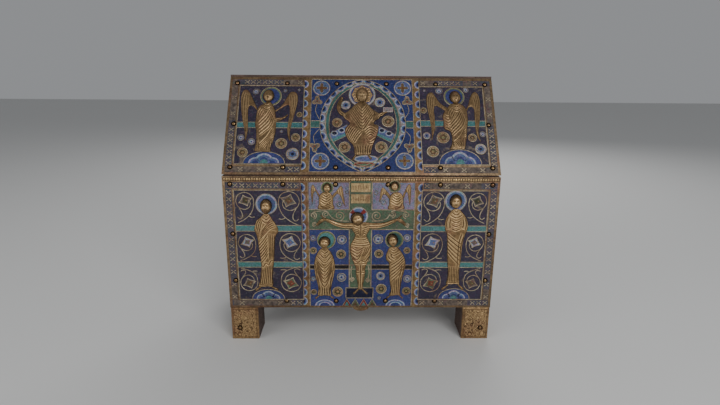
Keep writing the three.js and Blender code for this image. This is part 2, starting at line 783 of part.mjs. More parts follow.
// Heads, each a separate boss set on its figure: its name, its figure, half-width, half-height, depth
// and lean
const wallHeads = [
  ["left_saint_head", wallFigures.leftSaint, 5.7, 7.2, 4, -0.07],
  ["right_saint_head", wallFigures.rightSaint, 6, 7.4, 4, 0],
  ["left_mourner_head", wallFigures.leftMourner, 5.8, 6, 3.8, -0.1],
  ["right_mourner_head", wallFigures.rightMourner, 5.5, 7, 3.8, 0.2],
  ["crucified_head", wallFigures.crucified, 6.5, 6.8, 4.2, 0.3],
  ["wall_left_angel_head", wallFigures.leftAngel, 4.1, 4.7, 3, 0],
  ["wall_right_angel_head", wallFigures.rightAngel, 4.1, 4.7, 3, 0],
];
const roofHeads = [
  ["roof_left_angel_head", roofFigures.leftAngel, 5.7, 7.5, 4, -0.05],
  ["roof_right_angel_head", roofFigures.rightAngel, 5.7, 7.5, 4, 0.1],
  ["roof_enthroned_head", roofFigures.enthroned, 6.4, 8, 4.4, 0],
];
for (const [face, stretch, heads] of [[frontWall, wallStretch, wallHeads], [frontRoof, roofStretch, roofHeads]]) {
  for (const [name, figure, halfWidth, halfHeight, depth, lean] of heads) {
    const place = [figure.head[0] * stretch[0], figure.head[1] * stretch[1], headSeat];
    addPiece(face, name, head(halfWidth, halfHeight, depth), giltCopper, place).rotation.z = lean;
  }
}

// The origin: half-way between the foremost head and the nails at the back
const headProud = headSeat + Math.max(...wallHeads.map((entry) => entry[4])) * headSurface(0, 0);
casket.position.y = (headProud - nailHeight) / 2;
casket.updateMatrixWorld(true);

export default casket;
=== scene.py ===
import math
import random

import bpy
import numpy as np
from mathutils import Matrix, Vector


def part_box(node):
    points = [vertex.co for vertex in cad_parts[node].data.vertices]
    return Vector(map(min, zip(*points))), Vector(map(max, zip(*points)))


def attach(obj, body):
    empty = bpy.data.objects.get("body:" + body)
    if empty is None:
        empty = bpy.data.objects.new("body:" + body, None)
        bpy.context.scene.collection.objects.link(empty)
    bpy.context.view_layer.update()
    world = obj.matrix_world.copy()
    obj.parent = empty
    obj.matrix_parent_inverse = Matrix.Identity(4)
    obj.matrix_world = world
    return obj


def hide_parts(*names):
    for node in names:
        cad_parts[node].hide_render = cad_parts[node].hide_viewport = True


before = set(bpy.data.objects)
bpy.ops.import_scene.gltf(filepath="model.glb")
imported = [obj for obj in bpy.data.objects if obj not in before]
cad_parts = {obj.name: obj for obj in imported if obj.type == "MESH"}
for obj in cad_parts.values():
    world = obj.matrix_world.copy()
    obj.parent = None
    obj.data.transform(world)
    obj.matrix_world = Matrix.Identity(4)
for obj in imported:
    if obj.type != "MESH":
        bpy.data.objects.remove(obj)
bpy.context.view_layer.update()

chance = random.Random(11)

# Plates are laid out in millimetres from the middle of their lower edge: x to the right as one faces the
# plate, y up it, z out of it. The frame is in metres.
MM = 0.001
LAY_GAP = 0.3
SHEET_THICKNESS = 2.0


def corners_of(node):
    """A node's lowest and highest corners, in millimetres."""
    return [np.array(corner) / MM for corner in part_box(node)]


# The casket's own sizes, from the frame
wall_low, wall_high = corners_of("box_front_board")
back_high = corners_of("box_back_board")[1]
roof_low, roof_high = corners_of("back_roof_plate")
ridge_low, ridge_high = corners_of("ridge_strip")
foot_high = corners_of("front_right_foot_block")[1]
SKIN = SHEET_THICKNESS + LAY_GAP
FRONT = wall_low[1] - SKIN
BACK = back_high[1] + SKIN
MIDDLE = (FRONT + BACK) / 2
HALF_DEPTH = (BACK - FRONT) / 2
HALF_WIDTH = wall_high[0] + SKIN
FOOT_HEIGHT = wall_low[2]
WALL_HEIGHT = wall_high[2] - wall_low[2]
EAVE = roof_low[2]
ROOF_RISE = roof_high[2] - EAVE
ROOF_RUN = HALF_DEPTH - (ridge_high[1] - ridge_low[1]) / 2 - LAY_GAP
ROOF_PITCH = math.atan2(ROOF_RISE, ROOF_RUN)
ROOF_SLOPE = math.hypot(ROOF_RISE, ROOF_RUN)

# Levels of the metalwork, above the face of the copper
SUNK = -0.4
FIELD = 0.08
BAND = 0.13
INNER = 0.18
CELL = 0.23
FIGURE = 0.75
HEAD_SEAT = 1.1

# How far below zero the darkness may go, as a painted highlight on ridges, crests and faces, where the
# darkest hollow is 1
PAINTED_HIGHLIGHT_LIMIT = -0.4


def linear(red, green, blue, soundness=1.0):
    """A colour as it looks on a screen, turned into light, with how whole its enamel is."""
    return tuple(channel**2.2 for channel in (red, green, blue)) + (soundness,)


# Enamels
INDIGO = linear(0.185, 0.165, 0.225, 0.76)
ROYAL = linear(0.18, 0.21, 0.375)
LILAC = linear(0.42, 0.41, 0.48, 0.85)
ROOF_BLUE = linear(0.14, 0.18, 0.34)
SLATE = linear(0.26, 0.25, 0.28, 0.75)
WORN = linear(0.32, 0.28, 0.26, 0.3)
NIGHT = linear(0.07, 0.08, 0.17)
SKY = linear(0.28, 0.33, 0.46)
PALE = linear(0.52, 0.54, 0.58)
TURQUOISE = linear(0.25, 0.42, 0.41)
DULL_TURQUOISE = linear(0.20, 0.33, 0.31)
ROOF_TURQUOISE = linear(0.21, 0.37, 0.37)
GREEN = linear(0.28, 0.34, 0.26, 0.75)
LEAF = linear(0.34, 0.38, 0.26)
TEAL = linear(0.14, 0.28, 0.27)
OLIVE = linear(0.22, 0.21, 0.13)
RED = linear(0.42, 0.15, 0.13)
BRICK = linear(0.36, 0.20, 0.14)
BLACK = linear(0.09, 0.07, 0.08)
BROWN = linear(0.31, 0.25, 0.17)
CLOUD_GROUND = linear(0.44, 0.42, 0.41, 0.9)
TAUPE = linear(0.33, 0.30, 0.28)
BOOK_WHITE = linear(0.60, 0.57, 0.54)
GROUND_GOLD = linear(0.42, 0.36, 0.27, 0.9)
PALE_GOLD = linear(0.47, 0.40, 0.28)


# Finishes
def new_finish(name):
    material = bpy.data.materials.new(name)
    material.use_nodes = True
    tree = material.node_tree
    tree.nodes.clear()
    output = tree.nodes.new("ShaderNodeOutputMaterial")
    shader = tree.nodes.new("ShaderNodeBsdfPrincipled")
    tree.links.new(shader.outputs["BSDF"], output.inputs["Surface"])
    return material, tree, shader


def place(tree, stretch=(1, 1, 1)):
    """Where a point of the piece lies, for patterns."""
    spot = tree.nodes.new("ShaderNodeTexCoord")
    mapping = tree.nodes.new("ShaderNodeMapping")
    mapping.inputs["Scale"].default_value = stretch
    tree.links.new(spot.outputs["Object"], mapping.inputs["Vector"])
    return mapping.outputs["Vector"]


def cloudy(tree, where, scale, detail=4.0, rough=0.6):
    noise = tree.nodes.new("ShaderNodeTexNoise")
    noise.inputs["Scale"].default_value = scale
    noise.inputs["Detail"].default_value = detail
    noise.inputs["Roughness"].default_value = rough
    tree.links.new(where, noise.inputs["Vector"])
    return noise.outputs["Fac"]


def pitted(tree, where, scale):
    cells = tree.nodes.new("ShaderNodeTexVoronoi")
    cells.inputs["Scale"].default_value = scale
    tree.links.new(where, cells.inputs["Vector"])
    return cells.outputs["Distance"]


def remap(tree, value, low, high, to_low=0.0, to_high=1.0):
    node = tree.nodes.new("ShaderNodeMapRange")
    node.inputs["From Min"].default_value = low
    node.inputs["From Max"].default_value = high
    node.inputs["To Min"].default_value = to_low
    node.inputs["To Max"].default_value = to_high
    tree.links.new(value, node.inputs["Value"])
    return node.outputs["Result"]


def sums(tree, how, first, second):
    node = tree.nodes.new("ShaderNodeMath")
    node.operation = how
    node.use_clamp = how == "ADD"
    for socket, value in zip(node.inputs, (first, second)):
        if isinstance(value, (int, float)):
            socket.default_value = value
        else:
            tree.links.new(value, socket)
    return node.outputs["Value"]


def blended(tree, share, first, second, how="MIX"):
    node = tree.nodes.new("ShaderNodeMix")
    node.data_type = "RGBA"
    node.blend_type = how
    for socket, value in zip((node.inputs[0], node.inputs[6], node.inputs[7]), (share, first, second)):
        if isinstance(value, (int, float, tuple)):
            socket.default_value = value
        else:
            tree.links.new(value, socket)
    return node.outputs[2]


def greyed(tree, value):
    """The same amount in red, green and blue, to make a colour lighter or darker."""
    grey = tree.nodes.new("ShaderNodeCombineColor")
    for channel in ("Red", "Green", "Blue"):
        tree.links.new(value, grey.inputs[channel])
    return grey.outputs["Color"]


def carried(tree, name):
    node = tree.nodes.new("ShaderNodeAttribute")
    node.attribute_name = name
    return node


def roughened(tree, shader, height, depth):
    bump = tree.nodes.new("ShaderNodeBump")
    bump.inputs["Strength"].default_value = 0.6
    bump.inputs["Distance"].default_value = depth
    tree.links.new(height, bump.inputs["Height"])
    tree.links.new(bump.outputs["Normal"], shader.inputs["Normal"])


COPPER_RED = (0.24, 0.115, 0.07, 1)
# The colour of the painted highlight that gilding takes where its darkness is below zero
PAINTED_HIGHLIGHT_GOLD = (0.68, 0.47, 0.24, 1)


def gilt_finish(name, gold, shade, patina_share, metallic=0.7, polish=0.36, bright=PAINTED_HIGHLIGHT_GOLD):
    """Fire gilding: brown with patina and painted shade in the engraving, with a painted highlight on the
    folds, worn in patches to red copper.
    """
    material, tree, shader = new_finish(name)
    where = place(tree)
    hollow = carried(tree, "hollow").outputs["Fac"]
    patches = cloudy(tree, where, 70)
    specks = cloudy(tree, where, 900, 3)
    scratches = cloudy(tree, place(tree, (300, 300, 1500)), 1.0, 2)
    patina = sums(
        tree, "ADD", remap(tree, patches, 0.42, 0.72, 0, patina_share),
        remap(tree, specks, 0.5, 0.75, 0, 0.4)
    )
    # The carried darkness adds patina in the engraving and painted shade
    patina = sums(tree, "ADD", patina, hollow)
    metal = blended(tree, remap(tree, cloudy(tree, where, 45, 5), 0.5, 0.66, 0, 0.7), gold, COPPER_RED)
    mottle = remap(tree, cloudy(tree, where, 330, 4, 0.7), 0.3, 0.7, 0.5, 1.4)
    metal = blended(tree, 1.0, metal, greyed(tree, mottle), "MULTIPLY")
    # Below zero the carried darkness blends in a painted highlight
    metal = blended(tree, remap(tree, hollow, 0, PAINTED_HIGHLIGHT_LIMIT, 0, 0.8), metal, bright)
    tree.links.new(blended(tree, patina, metal, shade), shader.inputs["Base Color"])
    tree.links.new(remap(tree, patina, 0, 1, polish, 0.66), shader.inputs["Roughness"])
    shader.inputs["Metallic"].default_value = metallic
    shader.inputs["Specular IOR Level"].default_value = 0.25
    roughened(tree, shader, sums(tree, "ADD", specks, sums(tree, "MULTIPLY", scratches, 0.5)), 0.00012)
    return material


def enamel_finish(name):
    """Opaque glass fired into the copper: clouded, pitted, and gone in places."""
    material, tree, shader = new_finish(name)
    where = place(tree)
    tint = carried(tree, "tint")
    grain = remap(tree, cloudy(tree, where, 700, 3, 0.7), 0.3, 0.7, 0.5, 1.55)
    streaks = remap(tree, cloudy(tree, where, 60, 3), 0.3, 0.7, 0.75, 1.2)
    glass = blended(
        tree, 1.0, tint.outputs["Color"], greyed(tree, sums(tree, "MULTIPLY", grain, streaks)), "MULTIPLY"
    )
    hue = remap(tree, cloudy(tree, where, 420, 3), 0.35, 0.65)
    veil = blended(tree, hue, (0.72, 1.05, 0.98, 1), (1.35, 0.9, 1.05, 1))
    glass = blended(tree, 1.0, glass, veil, "MULTIPLY")
    pits = remap(tree, pitted(tree, where, 620), 0.1, 0.2, 1, 0)
    glass = blended(tree, sums(tree, "MULTIPLY", pits, 0.7), glass, (0.01, 0.008, 0.01, 1))
    bloom = remap(tree, cloudy(tree, where, 480, 2), 0.56, 0.76, 0, 0.24)
    glass = blended(tree, bloom, glass, (0.22, 0.21, 0.2, 1))
    lost = sums(
        tree, "SUBTRACT", cloudy(tree, where, 95, 6, 0.65),
        sums(tree, "MULTIPLY", tint.outputs["Alpha"], 0.38)
    )
    bare = remap(tree, lost, 0.3, 0.36)
    bottom = blended(
        tree, remap(tree, cloudy(tree, where, 300, 4), 0.35, 0.65),
        (0.035, 0.026, 0.024, 1), (0.14, 0.105, 0.08, 1)
    )
    tree.links.new(blended(tree, bare, glass, bottom), shader.inputs["Base Color"])
    tree.links.new(remap(tree, sums(tree, "ADD", pits, bare), 0, 1, 0.34, 0.66), shader.inputs["Roughness"])
    shader.inputs["Specular IOR Level"].default_value = 0.35
    surface = sums(tree, "SUBTRACT", cloudy(tree, where, 300, 3), sums(tree, "ADD", pits, bare))
    roughened(tree, shader, surface, 0.0001)
    return material


def oak_finish(name):
    material, tree, shader = new_finish(name)
    where = place(tree, (60, 420, 420))
    grain = cloudy(tree, where, 1.0, 6, 0.7)
    rings = cloudy(tree, place(tree, (12, 90, 60)), 1.0, 3)
    pores = remap(tree, cloudy(tree, place(tree, (160, 2200, 2200)), 1.0, 2), 0.62, 0.7)
    light = remap(
        tree, sums(tree, "ADD", sums(tree, "MULTIPLY", grain, 0.6), sums(tree, "MULTIPLY", rings, 0.4)),
        0.3, 0.7
    )
    colour = blended(tree, light, (0.028, 0.016, 0.014, 1), (0.13, 0.075, 0.055, 1))
    colour = blended(tree, sums(tree, "MULTIPLY", pores, 0.7), colour, (0.01, 0.006, 0.005, 1))
    tree.links.new(colour, shader.inputs["Base Color"])
    tree.links.new(remap(tree, grain, 0.3, 0.7, 0.85, 0.6), shader.inputs["Roughness"])
    roughened(tree, shader, sums(tree, "SUBTRACT", grain, pores), 0.0004)
    return material


gilt = gilt_finish("fire_gilding", (0.29, 0.185, 0.085, 1), (0.03, 0.017, 0.01, 1), 0.4)
# A darker copy of the gilding, for the roof's figures, heads and stars
darker_roof_gilt = gilt_finish(
    "darker_roof_gilding", (0.215, 0.139, 0.068, 1), (0.025, 0.015, 0.009, 1), 0.4, bright=(0.38, 0.26, 0.135, 1),
)
crown_gilt = gilt_finish("unworn_gilding", (0.29, 0.195, 0.10, 1), (0.03, 0.018, 0.01, 1), 0.0)
board_gilt = gilt_finish("board_gilding", (0.56, 0.395, 0.195, 1), (0.10, 0.06, 0.035, 1), 0.3)
brown_gilt = gilt_finish("browned_gilding", (0.24, 0.163, 0.09, 1), (0.045, 0.027, 0.018, 1), 0.5)
# A paler gilding, for the copper lines and crosslets
pale_gilt = gilt_finish("pale_gilding", (0.50, 0.42, 0.29, 1), (0.11, 0.075, 0.05, 1), 0.35)
dark_gilt = gilt_finish("dark_gilding", (0.36, 0.23, 0.11, 1), (0.012, 0.008, 0.006, 1), 0.35)
nail_bronze = gilt_finish("nail_bronze", (0.30, 0.19, 0.09, 1), (0.012, 0.008, 0.006, 1), 0.2, 0.95, 0.2)
foot_gilt = gilt_finish("foot_gilding", (0.385, 0.245, 0.118, 1), (0.05, 0.028, 0.02, 1), 0.3, 0.85, 0.3)
enamel = enamel_finish("champleve_enamel")
oak = oak_finish("old_oak")


# Plates and what is fixed to them
def plate_matrix(turn, distance, bottom, pitch=math.pi / 2):
    outward = Matrix.Translation((0, -distance, bottom)) @ Matrix.Rotation(pitch, 4, "X")
    turned = Matrix.Translation((0, MIDDLE, 0)) @ Matrix.Rotation(turn, 4, "Z")
    return Matrix.Scale(MM, 4) @ turned @ outward


QUARTER = math.pi / 2
front_wall = plate_matrix(0, HALF_DEPTH, FOOT_HEIGHT)
back_wall = plate_matrix(math.pi, HALF_DEPTH, FOOT_HEIGHT)
front_roof = plate_matrix(0, HALF_DEPTH, EAVE, ROOF_PITCH)
back_roof = plate_matrix(math.pi, HALF_DEPTH, EAVE, ROOF_PITCH)
ends = {
    "left": plate_matrix(-QUARTER, HALF_WIDTH, FOOT_HEIGHT),
    "right": plate_matrix(QUARTER, HALF_WIDTH, FOOT_HEIGHT),
}
gables = {
    "left": plate_matrix(-QUARTER, HALF_WIDTH, EAVE),
    "right": plate_matrix(QUARTER, HALF_WIDTH, EAVE),
}


def deselect():
    bpy.ops.object.select_all(action="DESELECT")


def only(piece):
    deselect()
    piece.select_set(True)
    bpy.context.view_layer.objects.active = piece


def paint(piece, tint):
    """Gives a piece the colour of its enamel."""
    layer = piece.data.attributes.new("tint", "FLOAT_COLOR", "POINT")
    layer.data.foreach_set("color", list(tint) * len(piece.data.vertices))
    return piece


def darkened(piece, depths):
    """Says how dark each point of a piece is, by one depth for all or by one for each: patina in engraving,
    painted shade, and below zero a painted highlight.
    """
    layer = piece.data.attributes.new("hollow", "FLOAT", "POINT")
    layer.data.foreach_set("value", np.zeros(len(piece.data.vertices)) + depths)
    return piece


def joined(pieces, name):
    only(pieces[0])
    for piece in pieces:
        piece.select_set(True)
    if len(pieces) > 1:
        bpy.ops.object.join()
    pieces[0].name = name
    pieces[0].data.name = name
    return pieces[0]


def fixed(pieces, name, plate, finish, node=None, smooth_angle=35):
    """Joins the pieces, sets them on their plate and gives them their finish."""
    piece = joined(pieces, name)
    piece.data.transform(plate)
    piece.data.materials.clear()
    piece.data.materials.append(finish)
    only(piece)
    bpy.ops.object.shade_smooth_by_angle(angle=math.radians(smooth_angle))
    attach(piece, "root")
    if node:
        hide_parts(node)
    return piece


# Flat work
def flat(points, high, tint=None, low=SUNK):
    """A flat inlay of any outline, in one even thickness."""
    bpy.ops.mesh.primitive_circle_add(vertices=len(points), radius=1, fill_type="NGON")
    piece = bpy.context.object
    for vertex, (x, y) in zip(piece.data.vertices, points):
        vertex.co = (x, y, low)
    bpy.ops.object.mode_set(mode="EDIT")
    bpy.ops.mesh.select_all(action="SELECT")
    bpy.ops.mesh.extrude_region_move(TRANSFORM_OT_translate={"value": (0, 0, high - low)})
    bpy.ops.mesh.select_all(action="SELECT")
    bpy.ops.mesh.normals_make_consistent(inside=False)
    bpy.ops.object.mode_set(mode="OBJECT")
    return paint(piece, tint) if tint else piece


def rectangle(left, bottom, right, top):
    return [(left, bottom), (right, bottom), (right, top), (left, top)]


def oval(x, y, half_width, half_height, sides=24, start=0.0, sweep=2 * math.pi, lobes=0, swell=0.0):
    closed = abs(sweep - 2 * math.pi) < 1e-6
    steps = sides if closed else sides + 1
    points = []
    for step in range(steps):
        angle = start + sweep * step / sides
        reach = 1 + swell * math.cos(lobes * angle)
        points.append((x + reach * half_width * math.cos(angle), y + reach * half_height * math.sin(angle)))
    return points


def panel(left, bottom, right, top, tint, level=FIELD):
    return flat(rectangle(left, bottom, right, top), level, tint)


def disc(x, y, radius, tint, level, sides=20):
    return flat(oval(x, y, radius, radius, sides), level, tint)


def wires(paths, radius, closed=False, level=0.1, flatten=0.7):
    """Fine lines of copper left standing, as round-backed wires along their paths."""
    curve = bpy.data.curves.new("line", "CURVE")
    curve.dimensions = "3D"
    curve.bevel_depth = radius
    curve.bevel_resolution = 1
    curve.use_fill_caps = True
    for path in paths:
        spline = curve.splines.new("POLY")
        spline.points.add(len(path) - 1)
        for point, (x, y) in zip(spline.points, path):
            point.co = (x, y, 0, 1)
        spline.use_cyclic_u = closed
    piece = bpy.data.objects.new("line", curve)
    bpy.context.collection.objects.link(piece)
    only(piece)
    bpy.ops.object.convert(target="MESH")
    piece = bpy.context.object
    piece.data.transform(Matrix.Translation((0, 0, level)) @ Matrix.Diagonal((1, 1, flatten, 1)))
    return piece


def frame_lines(left, bottom, right, top, radius=0.5):
    return wires([rectangle(left, bottom, right, top)], radius, closed=True)


def bar_lines(left, right, heights, radius=0.4):
    return wires([[(left, y), (right, y)] for y in heights], radius)


def stamped(motif, spots):
    """Copies of a motif, each with its own mesh. A spot is x, y, size and turn."""
    copies = []
    for x, y, size, turn in spots:
        copy = motif.copy()
        copy.data = motif.data.copy()
        sized = Matrix.Rotation(turn, 4, "Z") @ Matrix.Diagonal((size, size, 1, 1))
        copy.data.transform(Matrix.Translation((x, y, 0)) @ sized)
        bpy.context.collection.objects.link(copy)
        copies.append(copy)
    return copies


def discard(*motifs):
    for motif in motifs:
        bpy.data.objects.remove(motif)


# Motifs, modelled once at a radius or pitch of one
def crosslet():
    """A small saltire with a dot at each tip."""
    reach = (1.9, 1.6)
    slope = math.atan2(reach[1], reach[0])
    bars = []
    for turn in (slope, -slope):
        bpy.ops.mesh.primitive_cube_add(size=1)
        bar = bpy.context.object
        bar.data.transform(Matrix.Rotation(turn, 4, "Z") @ Matrix.Diagonal((5.2, 0.55, 0.7, 1)))
        bars.append(bar)
    for x in (-reach[0], reach[0]):
        for y in (-reach[1], reach[1]):
            bpy.ops.mesh.primitive_cylinder_add(vertices=6, radius=0.55, depth=0.76, location=(x, y, 0))
            bpy.ops.object.transform_apply(location=True)
            bars.append(bpy.context.object)
    return joined(bars, "crosslet")


def rosette(colours, lobes):
    """Rings of enamel one in another, the second of them scalloped."""
    outer, petals, middle = colours
    parts = [
        flat(oval(0, 0, 0.94, 0.94, 24), INNER, outer),
        flat(oval(0, 0, 0.6, 0.6, 30, lobes=lobes, swell=0.14), CELL, petals),
        flat(oval(0, 0, 0.26, 0.26, 12), CELL + 0.05, middle),
    ]
    return joined(parts, "rosette")


def rosette_line(lobes):
    rim = wires([oval(0, 0, 0.97, 0.97, 28)], 0.08, closed=True, flatten=1)
    inner = wires([oval(0, 0, 0.63, 0.63, 30, lobes=lobes, swell=0.14)], 0.05, closed=True, flatten=1)
    for piece, depth in ((rim, 3.4), (inner, 5.0)):
        piece.data.transform(Matrix.Translation((0, 0, 0.08)) @ Matrix.Diagonal((1, 1, depth, 1)))
    return joined([rim, inner], "rosette_line")


def cloud_lobe():
    """One billow of a band of clouds: a half-round of pale, blue and night, its flat side at x = 0."""
    billow = {"start": -QUARTER, "sweep": math.pi}
    parts = [
        flat(oval(0, 0, 5.2, 5.4, 20, **billow), BAND, PALE),
        flat(oval(0, 0, 4.0, 4.2, 18, **billow), INNER, SKY),
        flat(oval(0, 0, 2.9, 3.2, 16, **billow), CELL, ROYAL),
        flat(oval(0, 0, 1.9, 2.3, 12, **billow), CELL + 0.05, NIGHT),
    ]
    return joined(parts, "cloud_lobe")


def rivet():
    """A round-headed nail, with painted shade towards the edge of its dome and a dark disc under it as
    painted shadow.
    """
    bpy.ops.mesh.primitive_uv_sphere_add(segments=18, ring_count=12, radius=2.0)
    dome = bpy.context.object
    for vertex in dome.data.vertices:
        vertex.co.z = 0.12 + 0.66 * max(vertex.co.z, -0.6)
    rims = [math.hypot(vertex.co.x, vertex.co.y) / 2.0 for vertex in dome.data.vertices]
    # Painted shade on the dome, darker towards its edge
    darkened(dome, np.array([max(0.0, rim - 0.62) * 2.4 for rim in rims]))
    # A dark disc under the dome: painted shadow round the nail
    bpy.ops.mesh.primitive_cylinder_add(vertices=20, radius=2.75, depth=0.5, location=(0, 0, 0.05))
    bpy.ops.object.transform_apply(location=True)
    return joined([dome, darkened(bpy.context.object, 1.0)], "rivet")


# Chased figures
def smooth(points, closed=False, step=0.5):
    """A curve through the points, in short even steps."""
    points = np.array(points, dtype=float)
    if closed:
        points = np.vstack([points[-1], points, points[:2]])
    else:
        points = np.vstack([2 * points[0] - points[1], points, 2 * points[-1] - points[-2]])
    stretches = []
    for before, first, last, after in zip(points[:-3], points[1:-2], points[2:-1], points[3:]):
        count = max(2, round(np.linalg.norm(last - first) / step))
        share = np.arange(count)[:, None] / count
        line = 2 * first + (last - before) * share
        line = line + (2 * before - 5 * first + 4 * last - after) * share**2
        line = line + (3 * first - before - 3 * last + after) * share**3
        stretches.append(line / 2)
    if not closed:
        stretches.append(points[-2:-1])
    return np.vstack(stretches)


def family(first, last, count):
    """Strokes that pass evenly from the first to the last."""
    first = np.array(first, dtype=float)
    last = np.array(last, dtype=float)
    return [first + (last - first) * share for share in np.linspace(0, 1, count)]


def pleats(*rows):
    """Families of strokes, each row with its first stroke, its last one and how many there are."""
    return [stroke for row in rows for stroke in family(*row)]


def inside(points, rim):
    odd = np.zeros(len(points), dtype=bool)
    for (x0, y0), (x1, y1) in zip(rim, np.roll(rim, -1, axis=0)):
        if y0 != y1:
            crossed = (points[:, 1] < y0) != (points[:, 1] < y1)
            odd ^= crossed & (points[:, 0] < x0 + (x1 - x0) * (points[:, 1] - y0) / (y1 - y0))
    return odd


def foot_of(points, start, end):
    """The nearest point of a straight stretch to each point, and how far it is."""
    way = end - start
    share = np.clip(((points - start) @ way) / max(way @ way, 1e-9), 0, 1)
    nearest = start + share[:, None] * way
    return nearest, np.hypot(*(points - nearest).T)


def to_rim(points, rim):
    best = np.full(len(points), 99.0)
    spots = points.copy()
    for start, end in zip(rim, np.roll(rim, -1, axis=0)):
        nearest, far = foot_of(points, start, end)
        closer = far < best
        best[closer] = far[closer]
        spots[closer] = nearest[closer]
    return spots, best


RELIEF_SPACING = 0.38
GROOVE_WIDTH = 0.52
GROOVE_DEPTH = 0.55
RIDGE_OFFSET = 1.15
RIDGE_WIDTH = 0.4
RIDGE_HEIGHT = 0.28


def bell(value, middle, width):
    return np.exp(-(((value - middle) / width) ** 2))


def engraved(points, strokes):
    """How deep each point lies in the engraving, and how high on the cloth beside it."""
    groove = np.zeros(len(points))
    ridge = np.zeros(len(points))
    for stroke in strokes:
        line = smooth(stroke, step=0.9)
        count = len(line) - 1
        for index, (start, end) in enumerate(zip(line[:-1], line[1:])):
            strength = min(1, 0.35 + 0.3 * min(index, count - 1 - index))
            far = foot_of(points, start, end)[1]
            groove = np.maximum(groove, strength * np.exp(-((far / GROOVE_WIDTH) ** 2)))
            ridge = np.maximum(ridge, strength * np.exp(-(((far - RIDGE_OFFSET) / RIDGE_WIDTH) ** 2)))
    return groove, ridge


def relief(rim, folds=(), height=FIGURE, crown=0.45, roll=1.0, shade=0.95):
    """A form in low relief inside its rim, rolled down to the copper all round, with engraved folds."""
    low = rim.min(axis=0) - RELIEF_SPACING
    high = rim.max(axis=0) + RELIEF_SPACING
    columns, rows = (int(count) for count in np.ceil((high - low) / RELIEF_SPACING))
    bpy.ops.mesh.primitive_grid_add(x_subdivisions=columns, y_subdivisions=rows, size=2)
    piece = bpy.context.object
    spots = np.empty(len(piece.data.vertices) * 3)
    piece.data.vertices.foreach_get("co", spots)
    points = low + (spots.reshape(-1, 3)[:, :2] + 1) / 2 * (high - low)
    kept = inside(points, rim)
    on_rim, far = to_rim(points, rim)
    groove, ridge = engraved(points, folds)
    rise = np.clip(far / roll, 0, 1)
    level = height + crown * (1 - np.exp(-far / 3)) - GROOVE_DEPTH * groove + RIDGE_HEIGHT * ridge
    level = SUNK + (level - SUNK) * np.sin(rise * QUARTER) ** 0.6
    points[~kept] = on_rim[~kept]
    level[~kept] = SUNK
    piece.data.vertices.foreach_set("co", np.column_stack([points, level]).ravel())
    # Grooves dark with patina, painted shade where the form rolls down to the copper, and a painted highlight
    # on the ridge beside each groove
    darkened(piece, np.clip(shade * (groove + 1 - rise) - 0.4 * ridge, PAINTED_HIGHLIGHT_LIMIT, 1))
    corners = np.empty(len(piece.data.polygons) * 4, dtype=np.int32)
    piece.data.polygons.foreach_get("vertices", corners)
    outside = ~kept[corners].reshape(-1, 4).any(axis=1)
    bpy.context.tool_settings.mesh_select_mode = (False, False, True)
    piece.data.polygons.foreach_set("select", outside)
    bpy.ops.object.mode_set(mode="EDIT")
    bpy.ops.mesh.delete(type="FACE")
    bpy.ops.mesh.select_all(action="SELECT")
    bpy.ops.mesh.fill_holes(sides=0)
    bpy.ops.mesh.select_all(action="SELECT")
    bpy.ops.mesh.normals_make_consistent(inside=False)
    bpy.ops.object.mode_set(mode="OBJECT")
    bpy.context.tool_settings.mesh_select_mode = (True, False, False)
    return piece


def body(outline, folds, **shape):
    return relief(smooth(outline, closed=True), folds, **shape)


def ribbon(spine):
    """The outline of a limb, from its middle line of x, y and half width."""
    line = smooth(spine)
    way = np.gradient(line[:, :2], axis=0)
    way /= np.linalg.norm(way, axis=1)[:, None]
    aside = np.column_stack([-way[:, 1], way[:, 0]]) * line[:, 2:]
    start_cap = line[0, :2] - way[0] * line[0, 2] * 0.7
    end_cap = line[-1, :2] + way[-1] * line[-1, 2] * 0.7
    return np.vstack([line[:, :2] + aside, end_cap, (line[:, :2] - aside)[::-1], start_cap])


def limb(spine, folds=(), **shape):
    return relief(ribbon(spine), folds, **shape)


def bow(start, end, sag):
    """A stroke between two points that sags by this much at its middle."""
    shares = [step / 6 for step in range(7)]
    return [
        (
            start[0] + (end[0] - start[0]) * share,
            start[1] + (end[1] - start[1]) * share - 4 * sag * share * (1 - share),
        )
        for share in shares
    ]


def foot(heel, toe, size=1.0):
    """A bare foot seen from above, with its toes marked."""
    (hx, hy), (tx, ty) = heel, toe
    length = math.hypot(tx - hx, ty - hy)
    ahead = ((tx - hx) / length, (ty - hy) / length)
    toes = []
    for offset in (-0.55, 0, 0.55):
        side = (-ahead[1] * offset * size, ahead[0] * offset * size)
        start = (tx + side[0] - ahead[0] * 1.5, ty + side[1] - ahead[1] * 1.5)
        toes.append([start, (tx + side[0], ty + side[1])])
    spine = [(hx, hy, 1.0 * size), ((hx + tx) / 2, (hy + ty) / 2, 1.15 * size), (tx, ty, 1.5 * size)]
    return limb(spine, toes, height=0.7, crown=0.5, roll=0.7)


def hand(wrist, palm, tip, width, fingers=3):
    """A hand from wrist to finger tips, with the fingers parted by strokes."""
    (px, py), (tx, ty) = palm, tip
    length = math.hypot(tx - px, ty - py)
    aside = (-(ty - py) / length, (tx - px) / length)
    cuts = []
    for cut in range(fingers):
        offset = width * (2 * (cut + 1) / (fingers + 1) - 1)
        start = (px + aside[0] * offset, py + aside[1] * offset)
        cuts.append([start, (tx + aside[0] * offset * 0.8, ty + aside[1] * offset * 0.8)])
    spine = [(*wrist, width * 0.75), (*palm, width), (*tip, width * 0.7)]
    return limb(spine, cuts, height=1.0, roll=0.7)


def wing(outline, front_quill, back_quill, quills=3):
    """A folded wing, with long quills."""
    strokes = family(front_quill, back_quill, quills)
    return body(outline, strokes, height=0.62, crown=0.3, shade=0.5)
